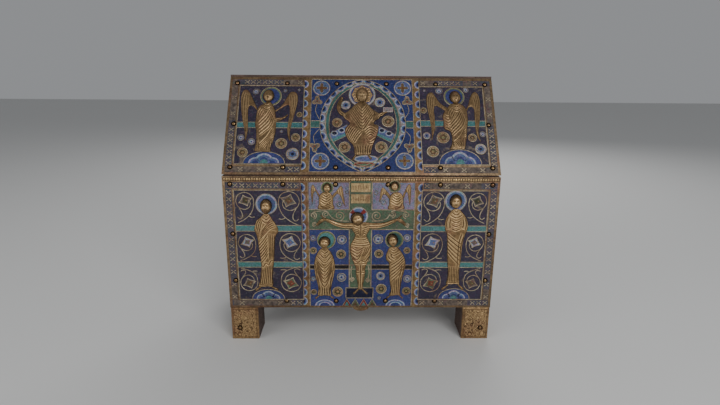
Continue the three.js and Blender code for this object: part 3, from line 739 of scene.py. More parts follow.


# Heads: a plain face of the usual proportions, with its hair and, on some, a beard, with painted shade in the
# eyes, under the nose, in the mouth and on the sides, and a painted highlight on the nose and cheeks
def head(x, y, half_width, half_height, depth, lean, beard, hair_shade):
    bpy.ops.mesh.primitive_uv_sphere_add(segments=72, ring_count=48, radius=1, rotation=(-QUARTER, 0, 0))
    bpy.ops.object.transform_apply(rotation=True)
    piece = bpy.context.object
    count = len(piece.data.vertices)
    spots = np.empty(count * 3)
    piece.data.vertices.foreach_get("co", spots)
    right, up, out = spots.reshape(-1, 3).T
    front = np.clip(out * 3, 0, 1)
    narrow = 1 - 0.14 * np.clip(-up, 0, 1) ** 1.5
    swell = np.zeros(count)
    # dark: painted shade in the eyes, under the nose and in the mouth
    dark = np.zeros(count)
    for eye in (-0.3, 0.3):
        swell -= 0.16 * bell(right, eye, 0.17) * bell(up, 0.14, 0.12)
        swell += 0.12 * bell(right, eye, 0.12) * bell(up, 0.13, 0.06)
        swell += 0.08 * bell(right, eye, 0.2) * bell(up, 0.32, 0.05)
        swell += 0.06 * bell(right, eye * 1.35, 0.2) * bell(up, -0.2, 0.18)
        dark += 0.9 * bell(right, eye, 0.13) * bell(up, 0.13, 0.055)
        dark += 0.7 * bell(right, eye, 0.18) * bell(up, 0.24, 0.035)
    nose_width = 0.08 + 0.05 * np.clip((0.15 - up) / 0.4, 0, 1)
    nose = np.clip((0.3 - up) / 0.5, 0, 1) * np.clip((up + 0.24) / 0.06, 0, 1)
    swell += 0.3 * np.exp(-((right / nose_width) ** 2)) * nose
    swell -= 0.08 * bell(right, 0, 0.2) * bell(up, -0.385, 0.03)
    swell += 0.07 * bell(right, 0, 0.19) * (bell(up, -0.33, 0.035) + bell(up, -0.45, 0.04))
    swell += 0.07 * bell(right, 0, 0.22) * bell(up, -0.7, 0.14)
    mouth = bell(right, 0, 0.19) * bell(up, -0.385, 0.035)
    dark += mouth + 0.6 * bell(right, 0, 0.12) * bell(up, -0.27, 0.03)
    swell *= front
    rim = np.hypot(right / 0.76, (up + 0.16) / 0.84)
    hair = np.clip((rim - 0.9) / 0.08, 0, 1) * np.clip((up + 0.6) / 0.2, 0, 1)
    angle = np.arctan2(right, up + 0.1)
    strands = 0.5 + 0.5 * np.cos(28 * angle + 5 * rim)
    lips = bell(right, 0, 0.22) * bell(up, -0.4, 0.1)
    chin = np.clip((-0.32 - up + 0.3 * right**2) / 0.1, 0, 1) * (1 - lips) * (beard > 0)
    covered = np.maximum(hair, chin)
    if beard:
        strands = np.where(up < -0.25, 0.5 + 0.5 * np.cos(right * 24 + 4 * up), strands)
    swell += covered * (0.08 + 0.07 * strands)
    reach = 1 + swell
    z = np.where(out > 0, out * reach * depth, out * 1.2)
    places = np.column_stack([right * narrow * reach * half_width, up * reach * half_height, z])
    turned = np.array(Matrix.Rotation(lean, 3, "Z"))
    places = places @ turned.T + np.array([x, y, HEAD_SEAT - 0.4])
    places[:, 2] = np.maximum(places[:, 2], HEAD_SEAT - 0.7)
    piece.data.vertices.foreach_set("co", places.ravel())
    # Painted shade on the sides that turn away, as dark as the hair
    edge = np.clip((0.55 - out) / 0.35, 0, 1)
    shade = np.maximum(hair_shade * hair, beard * chin) * (1 - 0.6 * strands)
    shade = np.maximum(shade, np.maximum(dark * front, hair_shade * edge))
    # shine: a painted highlight on the nose and cheeks; the face is also made a little lighter than the hair
    cheeks = bell(np.abs(right), 0.4, 0.16) * bell(up, -0.15, 0.16)
    shine = 0.4 * (1 - covered) * front * (bell(right, 0, 0.14) * nose + 0.6 * cheeks)
    return darkened(piece, np.clip(shade - shine - 0.1 * (1 - covered), PAINTED_HIGHLIGHT_LIMIT, 1))


# Sheets of copper
def sheet(width, height, low_edge=0.0, high_edge=0.0):
    """A sheet whose lower and upper edges may be cut at a slant, by these amounts at its back."""
    bpy.ops.mesh.primitive_cube_add(size=1)
    piece = bpy.context.object
    middle = Matrix.Translation((0, height / 2, -SHEET_THICKNESS / 2))
    piece.data.transform(middle @ Matrix.Diagonal((width, height, SHEET_THICKNESS, 1)))
    for vertex in piece.data.vertices:
        if vertex.co.z < -SHEET_THICKNESS / 2:
            vertex.co.y += low_edge if vertex.co.y < height / 2 else -high_edge
    bpy.ops.object.mode_set(mode="EDIT")
    bpy.ops.mesh.select_all(action="SELECT")
    bpy.ops.mesh.bevel(offset=0.35, segments=2, profile=0.6)
    bpy.ops.object.mode_set(mode="OBJECT")
    return piece


def lip(width, drop):
    """The half-round lip under the middle of the front sheet."""
    outline = oval(0, 0, width / 2, drop, 24, start=math.pi, sweep=math.pi)
    return flat(outline + [(width / 2, 1), (-width / 2, 1)], 0, low=-SHEET_THICKNESS)


def beading(left, right, y, pitch, radius):
    bpy.ops.mesh.primitive_uv_sphere_add(segments=8, ring_count=6, radius=radius)
    bead = bpy.context.object
    bead.data.transform(Matrix.Diagonal((1, 1.15, 0.6, 1)))
    count = round((right - left) / pitch)
    spots = [
        (left + (right - left) * (step + 0.5) / count, y, 1 + 0.08 * (chance.random() - 0.5), 0)
        for step in range(count)
    ]
    beads = stamped(bead, spots)
    discard(bead)
    return beads


def crosslet_row(motif, start, end, pitch=7.0, size=0.9):
    """Crosslets evenly spaced between two points."""
    length = math.dist(start, end)
    count = max(1, round(length / pitch))
    spots = []
    for step in range(count):
        share = (step + 0.5) / count
        x = start[0] + (end[0] - start[0]) * share
        y = start[1] + (end[1] - start[1]) * share
        spots.append((x, y, size * (1 + 0.08 * (chance.random() - 0.5)), 0.12 * (chance.random() - 0.5)))
    return stamped(motif, spots)


def rivets(spots):
    motif = rivet()
    nails = stamped(motif, [(x, y, 0.97 + 0.06 * chance.random(), chance.random() * 6) for x, y in spots])
    discard(motif)
    return nails


NAIL_INSET = 8.0


def nail_row(width, y, count=6):
    reach = width / 2 - NAIL_INSET
    return [(-reach + 2 * reach * index / (count - 1), y) for index in range(count)]


def nail_pairs(width, heights):
    return [(side * (width / 2 - NAIL_INSET), y) for y in heights for side in (-1, 1)]


def edged_nails(width, height, count=6):
    rows = nail_row(width, NAIL_INSET, count) + nail_row(width, height - NAIL_INSET, count)
    return rows + nail_pairs(width, [height / 2])


WIDTH = 2 * HALF_WIDTH
BLUE_WHITE = (PALE, SKY, NIGHT)
WHITE_ON_BLUE = (SKY, PALE, ROYAL)
GOLD_GREEN = (PALE_GOLD, OLIVE, PALE_GOLD)
GOLD_BROWN = (PALE_GOLD, BROWN, PALE_GOLD)


def rosettes(flowers):
    """Enamel and copper of rosettes: each is x, y, radius and its colours."""
    enamels = []
    kinds = {}
    for x, y, radius, colours in flowers:
        kinds.setdefault(colours, []).append((x, y, radius, chance.random()))
    for colours, spots in kinds.items():
        motif = rosette(colours, 6 if colours in (GOLD_GREEN, GOLD_BROWN) else 8)
        enamels += stamped(motif, spots)
        discard(motif)
    line = rosette_line(6)
    lines = stamped(line, [(x, y, radius, chance.random()) for x, y, radius, _ in flowers])
    discard(line)
    return enamels, lines


def cloud_band(x, bottom, top, count, side):
    """A column of billows that swell towards this side."""
    motif = cloud_lobe()
    pitch = (top - bottom) / count
    turn = 0 if side > 0 else math.pi
    spots = [(x, bottom + pitch * (step + 0.5), 0.87, turn) for step in range(count)]
    lobes = stamped(motif, spots)
    discard(motif)
    return lobes


CLOUD_INNER = 54.2
CLOUD_OUTER = 61.2


def cloud_ground(side, bottom, top):
    """The strip of gilding that a band of billows stands on."""
    left, right = sorted((side * CLOUD_INNER, side * CLOUD_OUTER))
    return flat(rectangle(left, bottom, right, top), 0.05)


def mound(x, base, half_width, height):
    """The small hill of clouds under a figure's feet."""
    arch = {"sides": 24, "start": 0, "sweep": math.pi}
    pieces = [flat(oval(x, base, half_width, height, **arch), BAND, ROYAL)]
    for offset, size in ((-0.42, 0.34), (0.42, 0.34), (0, 0.44)):
        lift = 0.0 if offset else 0.2 * height
        billow = (x + offset * half_width, base + 0.02 * height + lift)
        for wide, high, sides, level, tint in (
            (1, 1.5, 20, INNER, PALE), (0.78, 1.15, 20, CELL, SKY), (0.45, 0.7, 16, CELL + 0.05, ROYAL),
        ):
            outline = oval(*billow, size * wide * half_width, size * high * height, sides, 0, math.pi)
            pieces.append(flat(outline, level, tint))
    heart = oval(x, base, 0.2 * half_width, 0.36 * height, 16, 0, math.pi)
    pieces.append(flat(heart, CELL + 0.08, TURQUOISE))
    line = wires([oval(x, base, half_width + 0.5, height + 0.5, **arch)], 0.4)
    return pieces, line


# The front wall
CENTRE = 53.5
FIELD_INNER = 61.5
FIELD_OUTER = 128.4
STRIP = 6.4
WALL_FIELD = (10.2, 129.2)
WALL_TOP = 137.9
CROSS_NIMBUS = (-3.1, 102.8)
SHAFT = (-12.5, 10.5)


def strip(motif, start, end, nails, worn=(), pitch=7.1):
    """A border strip of slate enamel with its crosslets, worn bare between these shares of its length."""
    (x0, y0), (x1, y1) = start, end
    length = math.dist(start, end)
    across = ((y1 - y0) / length * STRIP / 2, (x1 - x0) / length * STRIP / 2)
    stops = [0.0]
    for low, high in worn:
        stops += [low, high]
    stops.append(1.0)
    grounds = []
    for index, (low, high) in enumerate(zip(stops[:-1], stops[1:])):
        if high - low < 0.005:
            continue
        first = (x0 + (x1 - x0) * low, y0 + (y1 - y0) * low)
        last = (x0 + (x1 - x0) * high, y0 + (y1 - y0) * high)
        left, right = sorted((first[0] - across[0], last[0] + across[0]))
        bottom, top = sorted((first[1] - across[1], last[1] + across[1]))
        grounds.append(panel(left, bottom, right, top, WORN if index % 2 else SLATE))
    count = max(1, round(length / pitch))
    spots = []
    for step in range(count):
        share = (step + 0.5) / count
        faint = any(low < share < high for low, high in worn)
        x = x0 + (x1 - x0) * share
        y = y0 + (y1 - y0) * share
        if min(math.dist((x, y), nail) for nail in nails) < 4.4:
            continue
        if not faint or step % 3 == 0:
            spots.append((x, y, 1 + 0.08 * (chance.random() - 0.5), 0.14 * (chance.random() - 0.5)))
    return grounds, stamped(motif, spots)


def side_panel(side, bottom, top, strip_top, nails, worn_top=(), worn_side=(), worn_bottom=(), pitch=7.1):
    """The dark field at one side, framed on three sides by strips of crosslets."""
    left, right = sorted((side * FIELD_INNER, side * FIELD_OUTER))
    motif = crosslet()
    grounds = [panel(left, bottom, right, top, INDIGO)]
    crosslets = []
    upper = strip_top - STRIP / 2
    for start, end, worn in (
        ((side * 62.3, upper), (side * 137.2, upper), worn_top),
        ((side * 134, 9.2), (side * 134, strip_top - STRIP - 0.4), worn_side),
        ((side * 62.3, 5.6), (side * 137.2, 5.6), worn_bottom),
    ):
        ground, crosses = strip(motif, start, end, nails, worn, pitch)
        grounds += ground
        crosslets += crosses
    discard(motif)
    return grounds, crosslets, frame_lines(left - 0.5, bottom - 0.5, right + 0.7, top + 0.7, 0.75)


def halo(x, y, radius, rim, ground):
    """The rings of a halo, with a gilt line round it."""
    pieces = [
        disc(x, y, radius - 0.2, rim, CELL, 36),
        disc(x, y, radius - 1.7, ground, CELL + 0.05, 36),
    ]
    return pieces, wires([oval(x, y, radius, radius, 40)], 0.35, closed=True, level=0.2)


def left_saint():
    robe = [
        (-99, 105.8), (-103.5, 101.5), (-107.4, 98), (-109, 93.5), (-110.3, 88.5), (-108.6, 83.5),
        (-107.3, 77), (-106.4, 66), (-105.2, 56), (-104.8, 47), (-105.6, 39), (-107, 31), (-108.8, 25),
        (-104, 23.8), (-99, 24.6), (-94, 24), (-92.6, 29), (-93, 36), (-92, 44), (-90.8, 54), (-90, 64),
        (-89.2, 74), (-88.4, 80.5), (-85.8, 84.6), (-85.2, 89), (-88, 95), (-91.4, 100), (-95, 105.6),
    ]
    folds = pleats(
        ([(-98.8, 103.8), (-97, 102.4), (-95.2, 103.8)], [(-102.6, 99.2), (-97.4, 95.4), (-92.6, 99)], 3),
        ([(-104.6, 99), (-107, 94), (-108, 88)], [(-101.8, 97), (-103.4, 92), (-104.8, 85.6)], 3),
        ([(-91.6, 97.4), (-96.6, 93.6), (-103, 85.4)], [(-88.8, 91.6), (-94.6, 88.6), (-104.6, 78)], 4),
        ([(-97, 82.4), (-101.4, 76), (-106.6, 70)], [(-97, 62), (-100, 56.6), (-104.6, 51)], 7),
        ([(-95, 83.4), (-95.2, 72), (-95.4, 56)], [(-89.4, 82), (-90.4, 70), (-91.4, 57)], 4),
    )
    folds.append([(-105, 50.4), (-102.4, 47.4), (-99.6, 51.4), (-96.6, 49.4), (-94.4, 53.6), (-91.6, 54.4)])
    folds += family([(-103.4, 45), (-105, 35), (-106.8, 26.6)], [(-92.4, 50), (-93.4, 37), (-94.2, 27)], 7)
    folds.append([(-107.6, 27), (-100.4, 26.4), (-93.4, 26.8)])
    pieces = [body(robe, folds), foot((-106, 24.6), (-111.4, 20.4)), foot((-94.6, 24.6), (-88.4, 20.8))]
    sleeve = [(-86.8, 86.6, 2), (-90.6, 87.4, 1.9), (-94, 88.2, 1.6)]
    pieces.append(limb(sleeve, [[(-88, 85.6), (-92, 86.6)]], height=1.0))
    pieces.append(hand((-93.4, 88.1), (-95.8, 89), (-99.2, 91), 1.5))
    return pieces


def right_saint():
    robe = [
        (93.8, 111), (90.4, 107.6), (87.6, 103), (85.8, 97), (85.7, 91.5), (87.6, 86),
        (88.8, 78), (89.4, 66), (90.2, 54), (91.4, 42), (91.4, 34), (90.4, 27.4), (95, 27),
        (99.6, 27.6), (104.8, 27), (104.2, 34), (104, 44), (104.8, 54), (105.2, 64), (105.8, 74),
        (107.4, 82), (109.8, 89), (109.6, 95.6), (107, 102.8), (103, 107.8), (99.4, 111),
    ]
    folds = pleats(
        ([(94.6, 109.4), (96.6, 107.6), (98.8, 109.4)], [(90.4, 104.6), (96.8, 101.4), (103, 104.6)], 3),
        ([(88.6, 102), (87.4, 96), (88, 90)], [(91.4, 101), (90.8, 95), (91.4, 89)], 2),
        ([(106.4, 101), (107.8, 95), (107.2, 89)], [(103.8, 101), (104.8, 95), (104, 89.6)], 2),
        ([(92.4, 98.6), (97, 96.4), (101.8, 98.6)], [(92.8, 90), (97, 88), (102.4, 90)], 3),
        ([(88.8, 84), (95, 79), (104.6, 72)], [(90.2, 64), (96, 57), (103, 50)], 6),
        ([(106, 82), (103.6, 70), (103.6, 52)], [(103.6, 84), (101.4, 72), (101, 46)], 2),
        ([(91.4, 48), (92.4, 38), (92, 29)], [(102.6, 46), (102.4, 37), (103, 29)], 7),
    )
    folds.append([(91, 29.8), (97, 29.2), (104, 29.8)])
    pieces = [body(robe, folds), foot((92.6, 26.8), (86.6, 21.6)), foot((103.4, 27), (109, 21.6))]
    for side in (-1, 1):
        middle = 97.2
        arm = ((10, 88.6, 2.2), (6.4, 89.4, 2), (3.6, 91.4, 1.7))
        sleeve = [(middle + side * x, y, wide) for x, y, wide in arm]
        pieces.append(limb(sleeve, [[(middle + side * 9, 87.6), (middle + side * 5, 88.8)]], height=1.0))
        spots = [(middle + side * x, y) for x, y in ((4, 91.2), (2.6, 93), (0.8, 96))]
        pieces.append(hand(*spots, 1.4))
    return pieces


def left_mourner():
    robe = [
        (-39.6, 69.6), (-43.4, 66.4), (-46.8, 61), (-48.9, 54.5), (-49.5, 47.5), (-48.6, 38), (-46.8, 29.6),
        (-45.4, 22), (-46.4, 15), (-43, 13.4), (-38.4, 14), (-33, 13.2), (-31.4, 15.6), (-31.6, 22),
        (-30, 30), (-28.2, 38), (-27.2, 47), (-28.2, 56), (-31, 63), (-34.2, 67.6), (-36, 69.8),
    ]
    folds = pleats(
        ([(-42, 65.4), (-38, 62.4), (-34.2, 65.4)], [(-45.6, 59), (-38.2, 52), (-31.4, 59)], 3),
        ([(-46.8, 55), (-38.6, 46), (-30, 55)], [(-46.6, 44), (-38.6, 25), (-30.4, 44)], 6),
        ([(-48, 50), (-46.6, 38), (-45, 28)], [(-45.4, 36), (-44.4, 28), (-43.8, 20)], 2),
        ([(-28.6, 50), (-30, 40), (-31.8, 30)], [(-31.4, 36), (-32.4, 28), (-32.8, 20)], 2),
        ([(-43.4, 24), (-43.6, 19), (-44.2, 15)], [(-33.8, 24), (-33.6, 19), (-33.2, 15)], 5),
    )
    return [
        body(robe, folds),
        foot((-44.6, 14), (-48.4, 10.8), 0.8),
        foot((-32.8, 13.8), (-29.2, 10.8), 0.8),
        hand((-34, 52.4), (-37.6, 54.4), (-41, 58), 1.4),
    ]


def right_mourner():
    robe = [
        (30.2, 70), (27.4, 65.4), (25.6, 60), (26, 55), (28.8, 51.4), (29.2, 43), (29.8, 34),
        (31, 26), (31.4, 20), (30, 14.4), (34, 13.6), (38, 14.4), (42.6, 13.8), (42.2, 19),
        (42.8, 27), (44.2, 36), (46, 44), (46.8, 51), (45.2, 58.6), (41.6, 65), (37.2, 69.8),
    ]
    folds = pleats(
        ([(31, 67.6), (33.6, 65.6), (37, 67.6)], [(29.4, 63), (34, 60.4), (40.6, 63.6)], 2),
        ([(28, 60.8), (29.4, 57), (33.4, 54)], [(30.4, 63), (32, 58.6), (36, 55.6)], 2),
        ([(44.4, 60), (38, 54), (30.6, 49)], [(44.8, 46), (38.4, 37), (31.4, 30)], 6),
        ([(45.6, 52), (44.6, 44), (42.6, 35)], [(43, 50), (42, 43), (40.4, 35)], 2),
        ([(31.8, 32), (32.2, 24), (31.4, 15.6)], [(42, 36), (41.6, 26), (41.4, 15.6)], 6),
    )
    return [
        body(robe, folds),
        foot((31, 14), (27.6, 11.2), 0.8),
        foot((41.4, 14.2), (44.6, 11.2), 0.8),
        hand((27.6, 57), (28.2, 61.4), (29.4, 66.6), 1.4),
    ]


def crucified():
    shape = [
        (-3.6, 96.8), (-10, 96), (-10.9, 92), (-9.4, 87), (-6.8, 82.4), (-8.4, 78), (-11, 73),
        (-12, 66), (-10.6, 58.6), (-8.2, 51.6), (-6, 46), (-5.6, 40), (-4.8, 33), (-3.6, 27),
        (-3.4, 21.4), (1.8, 21.4), (2.4, 27), (3.6, 33), (4.4, 40), (4.8, 46), (6.6, 51.6), (9, 58.6),
        (10.4, 66), (9.4, 73), (7, 78), (5.8, 82.4), (8.2, 87), (9.6, 92), (8.6, 96), (1.4, 96.8),
    ]
    folds = [[(-0.8, 94), (-0.7, 88), (-0.6, 81)]]
    folds += [bow((-8.4, 92.6), (-1, 90.4), 0.9), bow((-0.6, 90.4), (7, 92.6), 0.9)]
    folds += pleats(
        ([(-7.6, 88), (-4, 88.4), (-1.6, 86.4)], [(-6, 83.4), (-3.6, 84.6), (-1.6, 82.4)], 3),
        ([(6.4, 88), (3, 88.4), (0.4, 86.4)], [(4.8, 83.4), (2.6, 84.6), (0.4, 82.4)], 3),
    )
    folds += [
        bow((-7.6, 79), (6.4, 79), 1.6), bow((-9.6, 75), (8.4, 75), 1.4),
        bow((-10.6, 72.6), (9.2, 72.6), 1.6)
    ]
    folds += pleats(
        ([(-10.4, 69), (-4, 66), (3, 69.6)], [(-10.2, 60), (-4.6, 55.6), (0.2, 62)], 4),
        ([(8.8, 70), (6.4, 64), (2.6, 58)], [(4.4, 69), (2.6, 63.4), (0, 58.4)], 3),
        ([(-9.4, 57.4), (-4, 52.8), (0, 55)], [(9, 60), (4, 53.2), (0.4, 55)], 2),
    )
    folds += [bow((-8, 51.8), (6.2, 51.8), 1.0), [(-0.7, 50), (-0.6, 38), (-0.8, 23)]]
    folds += [bow((-5, 42), (-1.6, 42), 1.2), bow((0.2, 42), (4, 42), 1.2)]
    folds += family([(-3.6, 38), (-3, 32), (-2.6, 26)], [(2.4, 38), (2, 32), (1.4, 26)], 2)
    pieces = [
        body(shape, folds, crown=0.7),
        foot((-2.8, 21.6), (-7.6, 16.4), 1.1),
        foot((1.4, 21.6), (6.6, 16.4), 1.1),
    ]
    for side, reach in ((-1, (8.6, 17, 25, 32, 37.4)), (1, (6.8, 16, 24.4, 31.6, 37))):
        heights = (92.6, 92.7, 94.2, 97.2, 99.4)
        widths = (3.6, 3.2, 2.6, 2.2, 1.7)
        spine = [(side * x, y, width) for x, y, width in zip(reach, heights, widths)]
        muscle = [(side * x, y) for x, y in zip(reach, (92, 91.8, 93.6, 96.8))]
        pieces.append(limb(spine, [muscle], height=0.85, crown=0.7))
        end = side * reach[-1]
        pieces.append(hand((end, 99.2), (end + side * 3.4, 98), (end + side * 8.4, 93.4), 2.1))
        thumb = [(end, 99.8, 1.1), (end + side * 2.4, 101.8, 0.9), (end + side * 4.4, 104, 0.6)]
        pieces.append(limb(thumb, height=0.9))
    return pieces


def half_angel(middle, wings, lean):
    """An angel seen to the waist, behind a cloud's edge."""

    def beside(*spots):
        return [(middle + across, y) for across, y in spots]

    robe = beside(
        (-2.2, 128.4), (-5.4, 126.4), (-7.4, 122.6), (-7.6, 116), (-7.8, 110.2), (7.6, 110.2),
        (7.4, 116), (7.2, 122.6), (5, 126.6), (2, 128.4),
    )
    folds = pleats(
        (beside((-3.6, 125.6), (0, 123.6), (3.4, 125.6)), beside((-6, 119), (0, 115.6), (5.4, 119)), 4),
        (beside((-6, 115), (-3 * lean, 113), (5.6, 117)), beside((-5.6, 111.4), (0, 111), (6, 113)), 3),
    )
    pieces = [body(robe, folds)]
    for outline, front, back in wings:
        pieces.append(wing(outline, front, back, 2))
    pieces.append(hand(*beside((4 * lean, 115), (1.4 * lean, 117), (-2 * lean, 120)), 1.2, 2))
    return pieces


def left_half_angel():
    near = [
        (-42.2, 124.6), (-46, 131), (-48.4, 135.6), (-50.6, 134.6), (-51.4, 128), (-50.9, 119),
        (-50.3, 113.6), (-49.2, 119), (-48.3, 126.4), (-46.8, 128.6), (-44.6, 124.6), (-42.6, 120.6),
    ]
    far = [
        (-30.2, 124.4), (-26, 129.2), (-22.8, 133.4), (-20.4, 134.6),
        (-18.8, 131), (-18, 124), (-16.8, 116.4), (-15.8, 111.6), (-19.2, 117),
        (-21.6, 123.4), (-24.4, 126), (-27.8, 122.6), (-30, 120.4),
    ]
    wings = [
        (near, [(-49.8, 133), (-50.2, 126), (-50, 117)], [(-48, 133), (-49, 127), (-49.6, 119)]),
        (far, [(-20.6, 133), (-19.4, 125), (-17.4, 115)], [(-22.8, 131), (-21.4, 125), (-19, 118)]),
    ]
    return half_angel(-36.1, wings, 1)


def right_half_angel():
    near = [
        (29, 124.6), (26, 129), (22.4, 132.8), (20.4, 133), (18.8, 129), (18, 122),
        (17.2, 116.2), (20, 121), (22.2, 125.6), (25, 124.2), (27.8, 120.8),
    ]
    far = [
        (41.4, 125), (43.6, 130.4), (46, 135.6), (48.2, 137), (49.9, 133), (50.1, 125),
        (49.7, 117.4), (49.1, 113.6), (47.4, 120), (46.3, 127), (44.8, 127.6), (43, 122),
    ]
    wings = [
        (near, [(20.6, 131.4), (19.6, 125), (18.4, 119)], [(22.6, 130), (21.4, 125.6), (20, 121)]),
        (far, [(48.2, 135), (49, 127), (49, 117)], [(46.6, 133), (47.6, 127), (48.4, 119)]),
    ]
    return half_angel(35.3, wings, -1)


WALL_FIGURES = {
    "left_saint": left_saint,
    "right_saint": right_saint,
    "left_mourner": left_mourner,
    "right_mourner": right_mourner,
    "crucified": crucified,
    "wall_left_angel": left_half_angel,
    "wall_right_angel": right_half_angel,
}
# Heads: middle, half width, half height and depth, lean, and how dark the beard and the hair are; the hair's
# darkness also sets the painted shade on the head's sides
WALL_HEADS = {
    "left_saint_head": ((-96.8, 113.2), (5.4, 7, 3.7), -0.07, 0.45, 1.0),
    "right_saint_head": ((95.6, 118.6), (5.6, 7.1, 3.7), 0, 0, 0.9),
    "left_mourner_head": ((-38, 74.8), (5.4, 5.8, 3.5), -0.1, 0, 1.0),
    "right_mourner_head": ((32.4, 77), (5.1, 6.7, 3.5), 0.2, 0, 1.0),
    "crucified_head": ((-4.2, 100.3), (6.1, 6.5, 3.9), 0.3, 0.5, 1.0),
    "wall_left_angel_head": ((-34.8, 132.5), (3.8, 4.5, 2.8), 0, 0, 1.0),
    "wall_right_angel_head": ((33, 134.4), (3.8, 4.5, 2.8), 0, 0, 1.0),
}
WALL_FLOWERS = [
    (-50.0, 78.9, 3.2, WHITE_ON_BLUE), (-20.2, 77.4, 4.8, WHITE_ON_BLUE), (-49.8, 65.4, 3.6, GOLD_GREEN),
    (-21, 61.4, 5, GOLD_GREEN), (17.4, 78, 5.1, WHITE_ON_BLUE), (18.4, 62, 4.6, GOLD_GREEN),
    (47.4, 79.5, 3.8, WHITE_ON_BLUE), (47.6, 65.8, 3.5, GOLD_GREEN), (-20.6, 35.3, 4.7, WHITE_ON_BLUE),
    (-50.6, 33.6, 2.7, WHITE_ON_BLUE), (-24.7, 18.7, 5.6, GOLD_GREEN), (-50, 18.4, 3.2, GOLD_GREEN),
    (20.6, 36.9, 4.6, BLUE_WHITE), (21.6, 22, 5.6, GOLD_GREEN), (49, 33.7, 4, WHITE_ON_BLUE),
    (48.4, 19.6, 4.5, GOLD_GREEN), (-22.6, 115.2, 2.8, WHITE_ON_BLUE), (-14.6, 128, 1.8, WHITE_ON_BLUE),
    (22, 118, 2.8, WHITE_ON_BLUE), (14.4, 127.6, 2.4, WHITE_ON_BLUE), (19.4, 11.6, 1.8, WHITE_ON_BLUE),
]


def cross_grounds():
    """The cross with its shaft, foot board and hill, and the fields between its arms."""
    grounds = [
        panel(-CENTRE, 2.2, CENTRE, 88.3, ROYAL),
        panel(-CENTRE, 109.8, CENTRE, WALL_TOP, LILAC),
        panel(-CENTRE, 44.9, CENTRE, 49, BLACK, BAND),
        panel(-CENTRE, 88.6, CENTRE, 109.6, GREEN, BAND),
        panel(-12.2, 23.4, 10.2, WALL_TOP, GREEN, INNER),
        panel(-15.5, 11.8, 12.4, 22.8, NIGHT, CELL),
        panel(-11, WALL_TOP - 0.2, 9.4, 139.6, GREEN, CELL),
    ]
    lines = [
        bar_lines(-CENTRE, -12.4, (88.5, 109.7), 0.55),
        bar_lines(10.4, CENTRE, (88.5, 109.7), 0.55),
        bar_lines(-CENTRE, CENTRE, (44.6, 49.3), 0.42),
        wires([[(x, 22.8), (x, 88.6)] for x in SHAFT], 0.6, level=0.2),
        wires([[(x, 109.6), (x, 138.6)] for x in SHAFT], 0.6, level=0.2),
        frame_lines(-16, 11.4, 12.9, 23.2, 0.75),
    ]
    width = 9
    for step in range(4):
        left = -19.5 + width * step
        peak = [(left, 2.4), (left + width, 2.4), (left + width / 2, 10.2)]
        heart = [(left + 2, 2.6), (left + width - 2, 2.6), (left + width / 2, 7.2)]
        grounds.append(flat(peak, CELL, (RED, GREEN)[step % 2]))
        grounds.append(flat(heart, CELL + 0.05, (TURQUOISE, BROWN)[step % 2]))
    zigzag = [(-19.5 + width / 2 * step, 2.5 if step % 2 == 0 else 10.4) for step in range(9)]
    lines.append(wires([zigzag], 0.5, level=0.25))
    return grounds, lines


TENDRIL_TURNS = 1.6


def coil(x, y, radius, way):
    """A small tight tendril."""
    steps = 40
    line = []
    for step in range(steps + 1):
        share = step / steps
        reach = radius * (1 - 0.8 * share)
        angle = -QUARTER + way * TENDRIL_TURNS * 2 * math.pi * share
        line.append((x + reach * math.cos(angle), y + reach * math.sin(angle)))
    return line


def arm_tendrils():
    coils = (
        (-22.6, 103.2, 5.2, 1), (-36.6, 104.8, 3.6, -1), (-49, 103.4, 3.6, 1), (15.6, 103.2, 5.4, -1),
        (31.4, 104.8, 3.6, 1), (45.8, 104.2, 3.8, -1), (-48, 94, 2.6, -1), (46.4, 93.4, 2.6, 1),
        (-8.6, 57, 2.2, 1), (7.4, 55, 2.2, -1), (-9, 33, 2.6, -1), (6.6, 32, 2.4, 1),
    )
    stems = [
        [(-13, 97.4), (-22.6, 98), (-30, 101), (-36, 108), (-44, 108), (-49, 106.8)],
        [(10.6, 97.6), (17, 97.8), (26, 100.6), (31.4, 108.4), (40, 108.4), (45.8, 108)],
        [(-9, 30.4), (-10.6, 41), (-9.4, 49)], [(6.6, 29.6), (8.4, 40), (7.4, 49)],
    ]
    return [coil(*place) for place in coils] + [smooth(stem) for stem in stems]


# Scrolls of the side fields, about the middle of the coil and for a coil of unit size
SCROLL_RADIUS = 9.3
SCROLL_STEM = [
    (-8, -23.5), (-2, -20.5), (4.5, -15), (8.3, -8), (9.3, 0), (6.6, 6.6), (0, 9.4), (-6.6, 6.6), (-9.2, 0),
    (-6.8, -6.2), (-1, -9), (4, -7), (5.8, -2.5), (4.2, 1),
]
SCROLL_SHOOT = [(-6.6, -6.5), (-3.8, -12), (-3.2, -17), (-5.6, -19.4), (-8.4, -17.4)]
SCROLL_TENDRIL = [(3.4, -16.2), (6.5, -17.6), (9.6, -17.2)]


def scroll(x, y, size, across, up, reach):
    """A tendril that winds in to its flower. Its stem and shoot reach this share of their full length."""
    lines = []
    for line in (SCROLL_STEM, SCROLL_SHOOT, SCROLL_TENDRIL):
        placed = []
        for dx, dy in line:
            if dy < -SCROLL_RADIUS:
                dy = -SCROLL_RADIUS + (dy + SCROLL_RADIUS) * reach
            placed.append((x + across * size * dx, y + up * dy * min(size, 1.08)))
        lines.append(smooth(placed))
    return lines


def turned(points, x, y, turn):
    """Points turned about the origin, then moved."""
    cos, sin = math.cos(turn), math.sin(turn)
    return [(x + px * cos - py * sin, y + px * sin + py * cos) for px, py in points]


def lozenge(x, y, reach, turn):
    """A four-pointed flower with hollow sides."""
    points = []
    for px, py in oval(0, 0, 1, 1, 32):
        px = math.copysign(abs(px) ** 2.6, px) * reach
        py = math.copysign(abs(py) ** 2.6, py) * reach * 0.85
        points.append((px, py))
    return turned(points, x, y, turn)


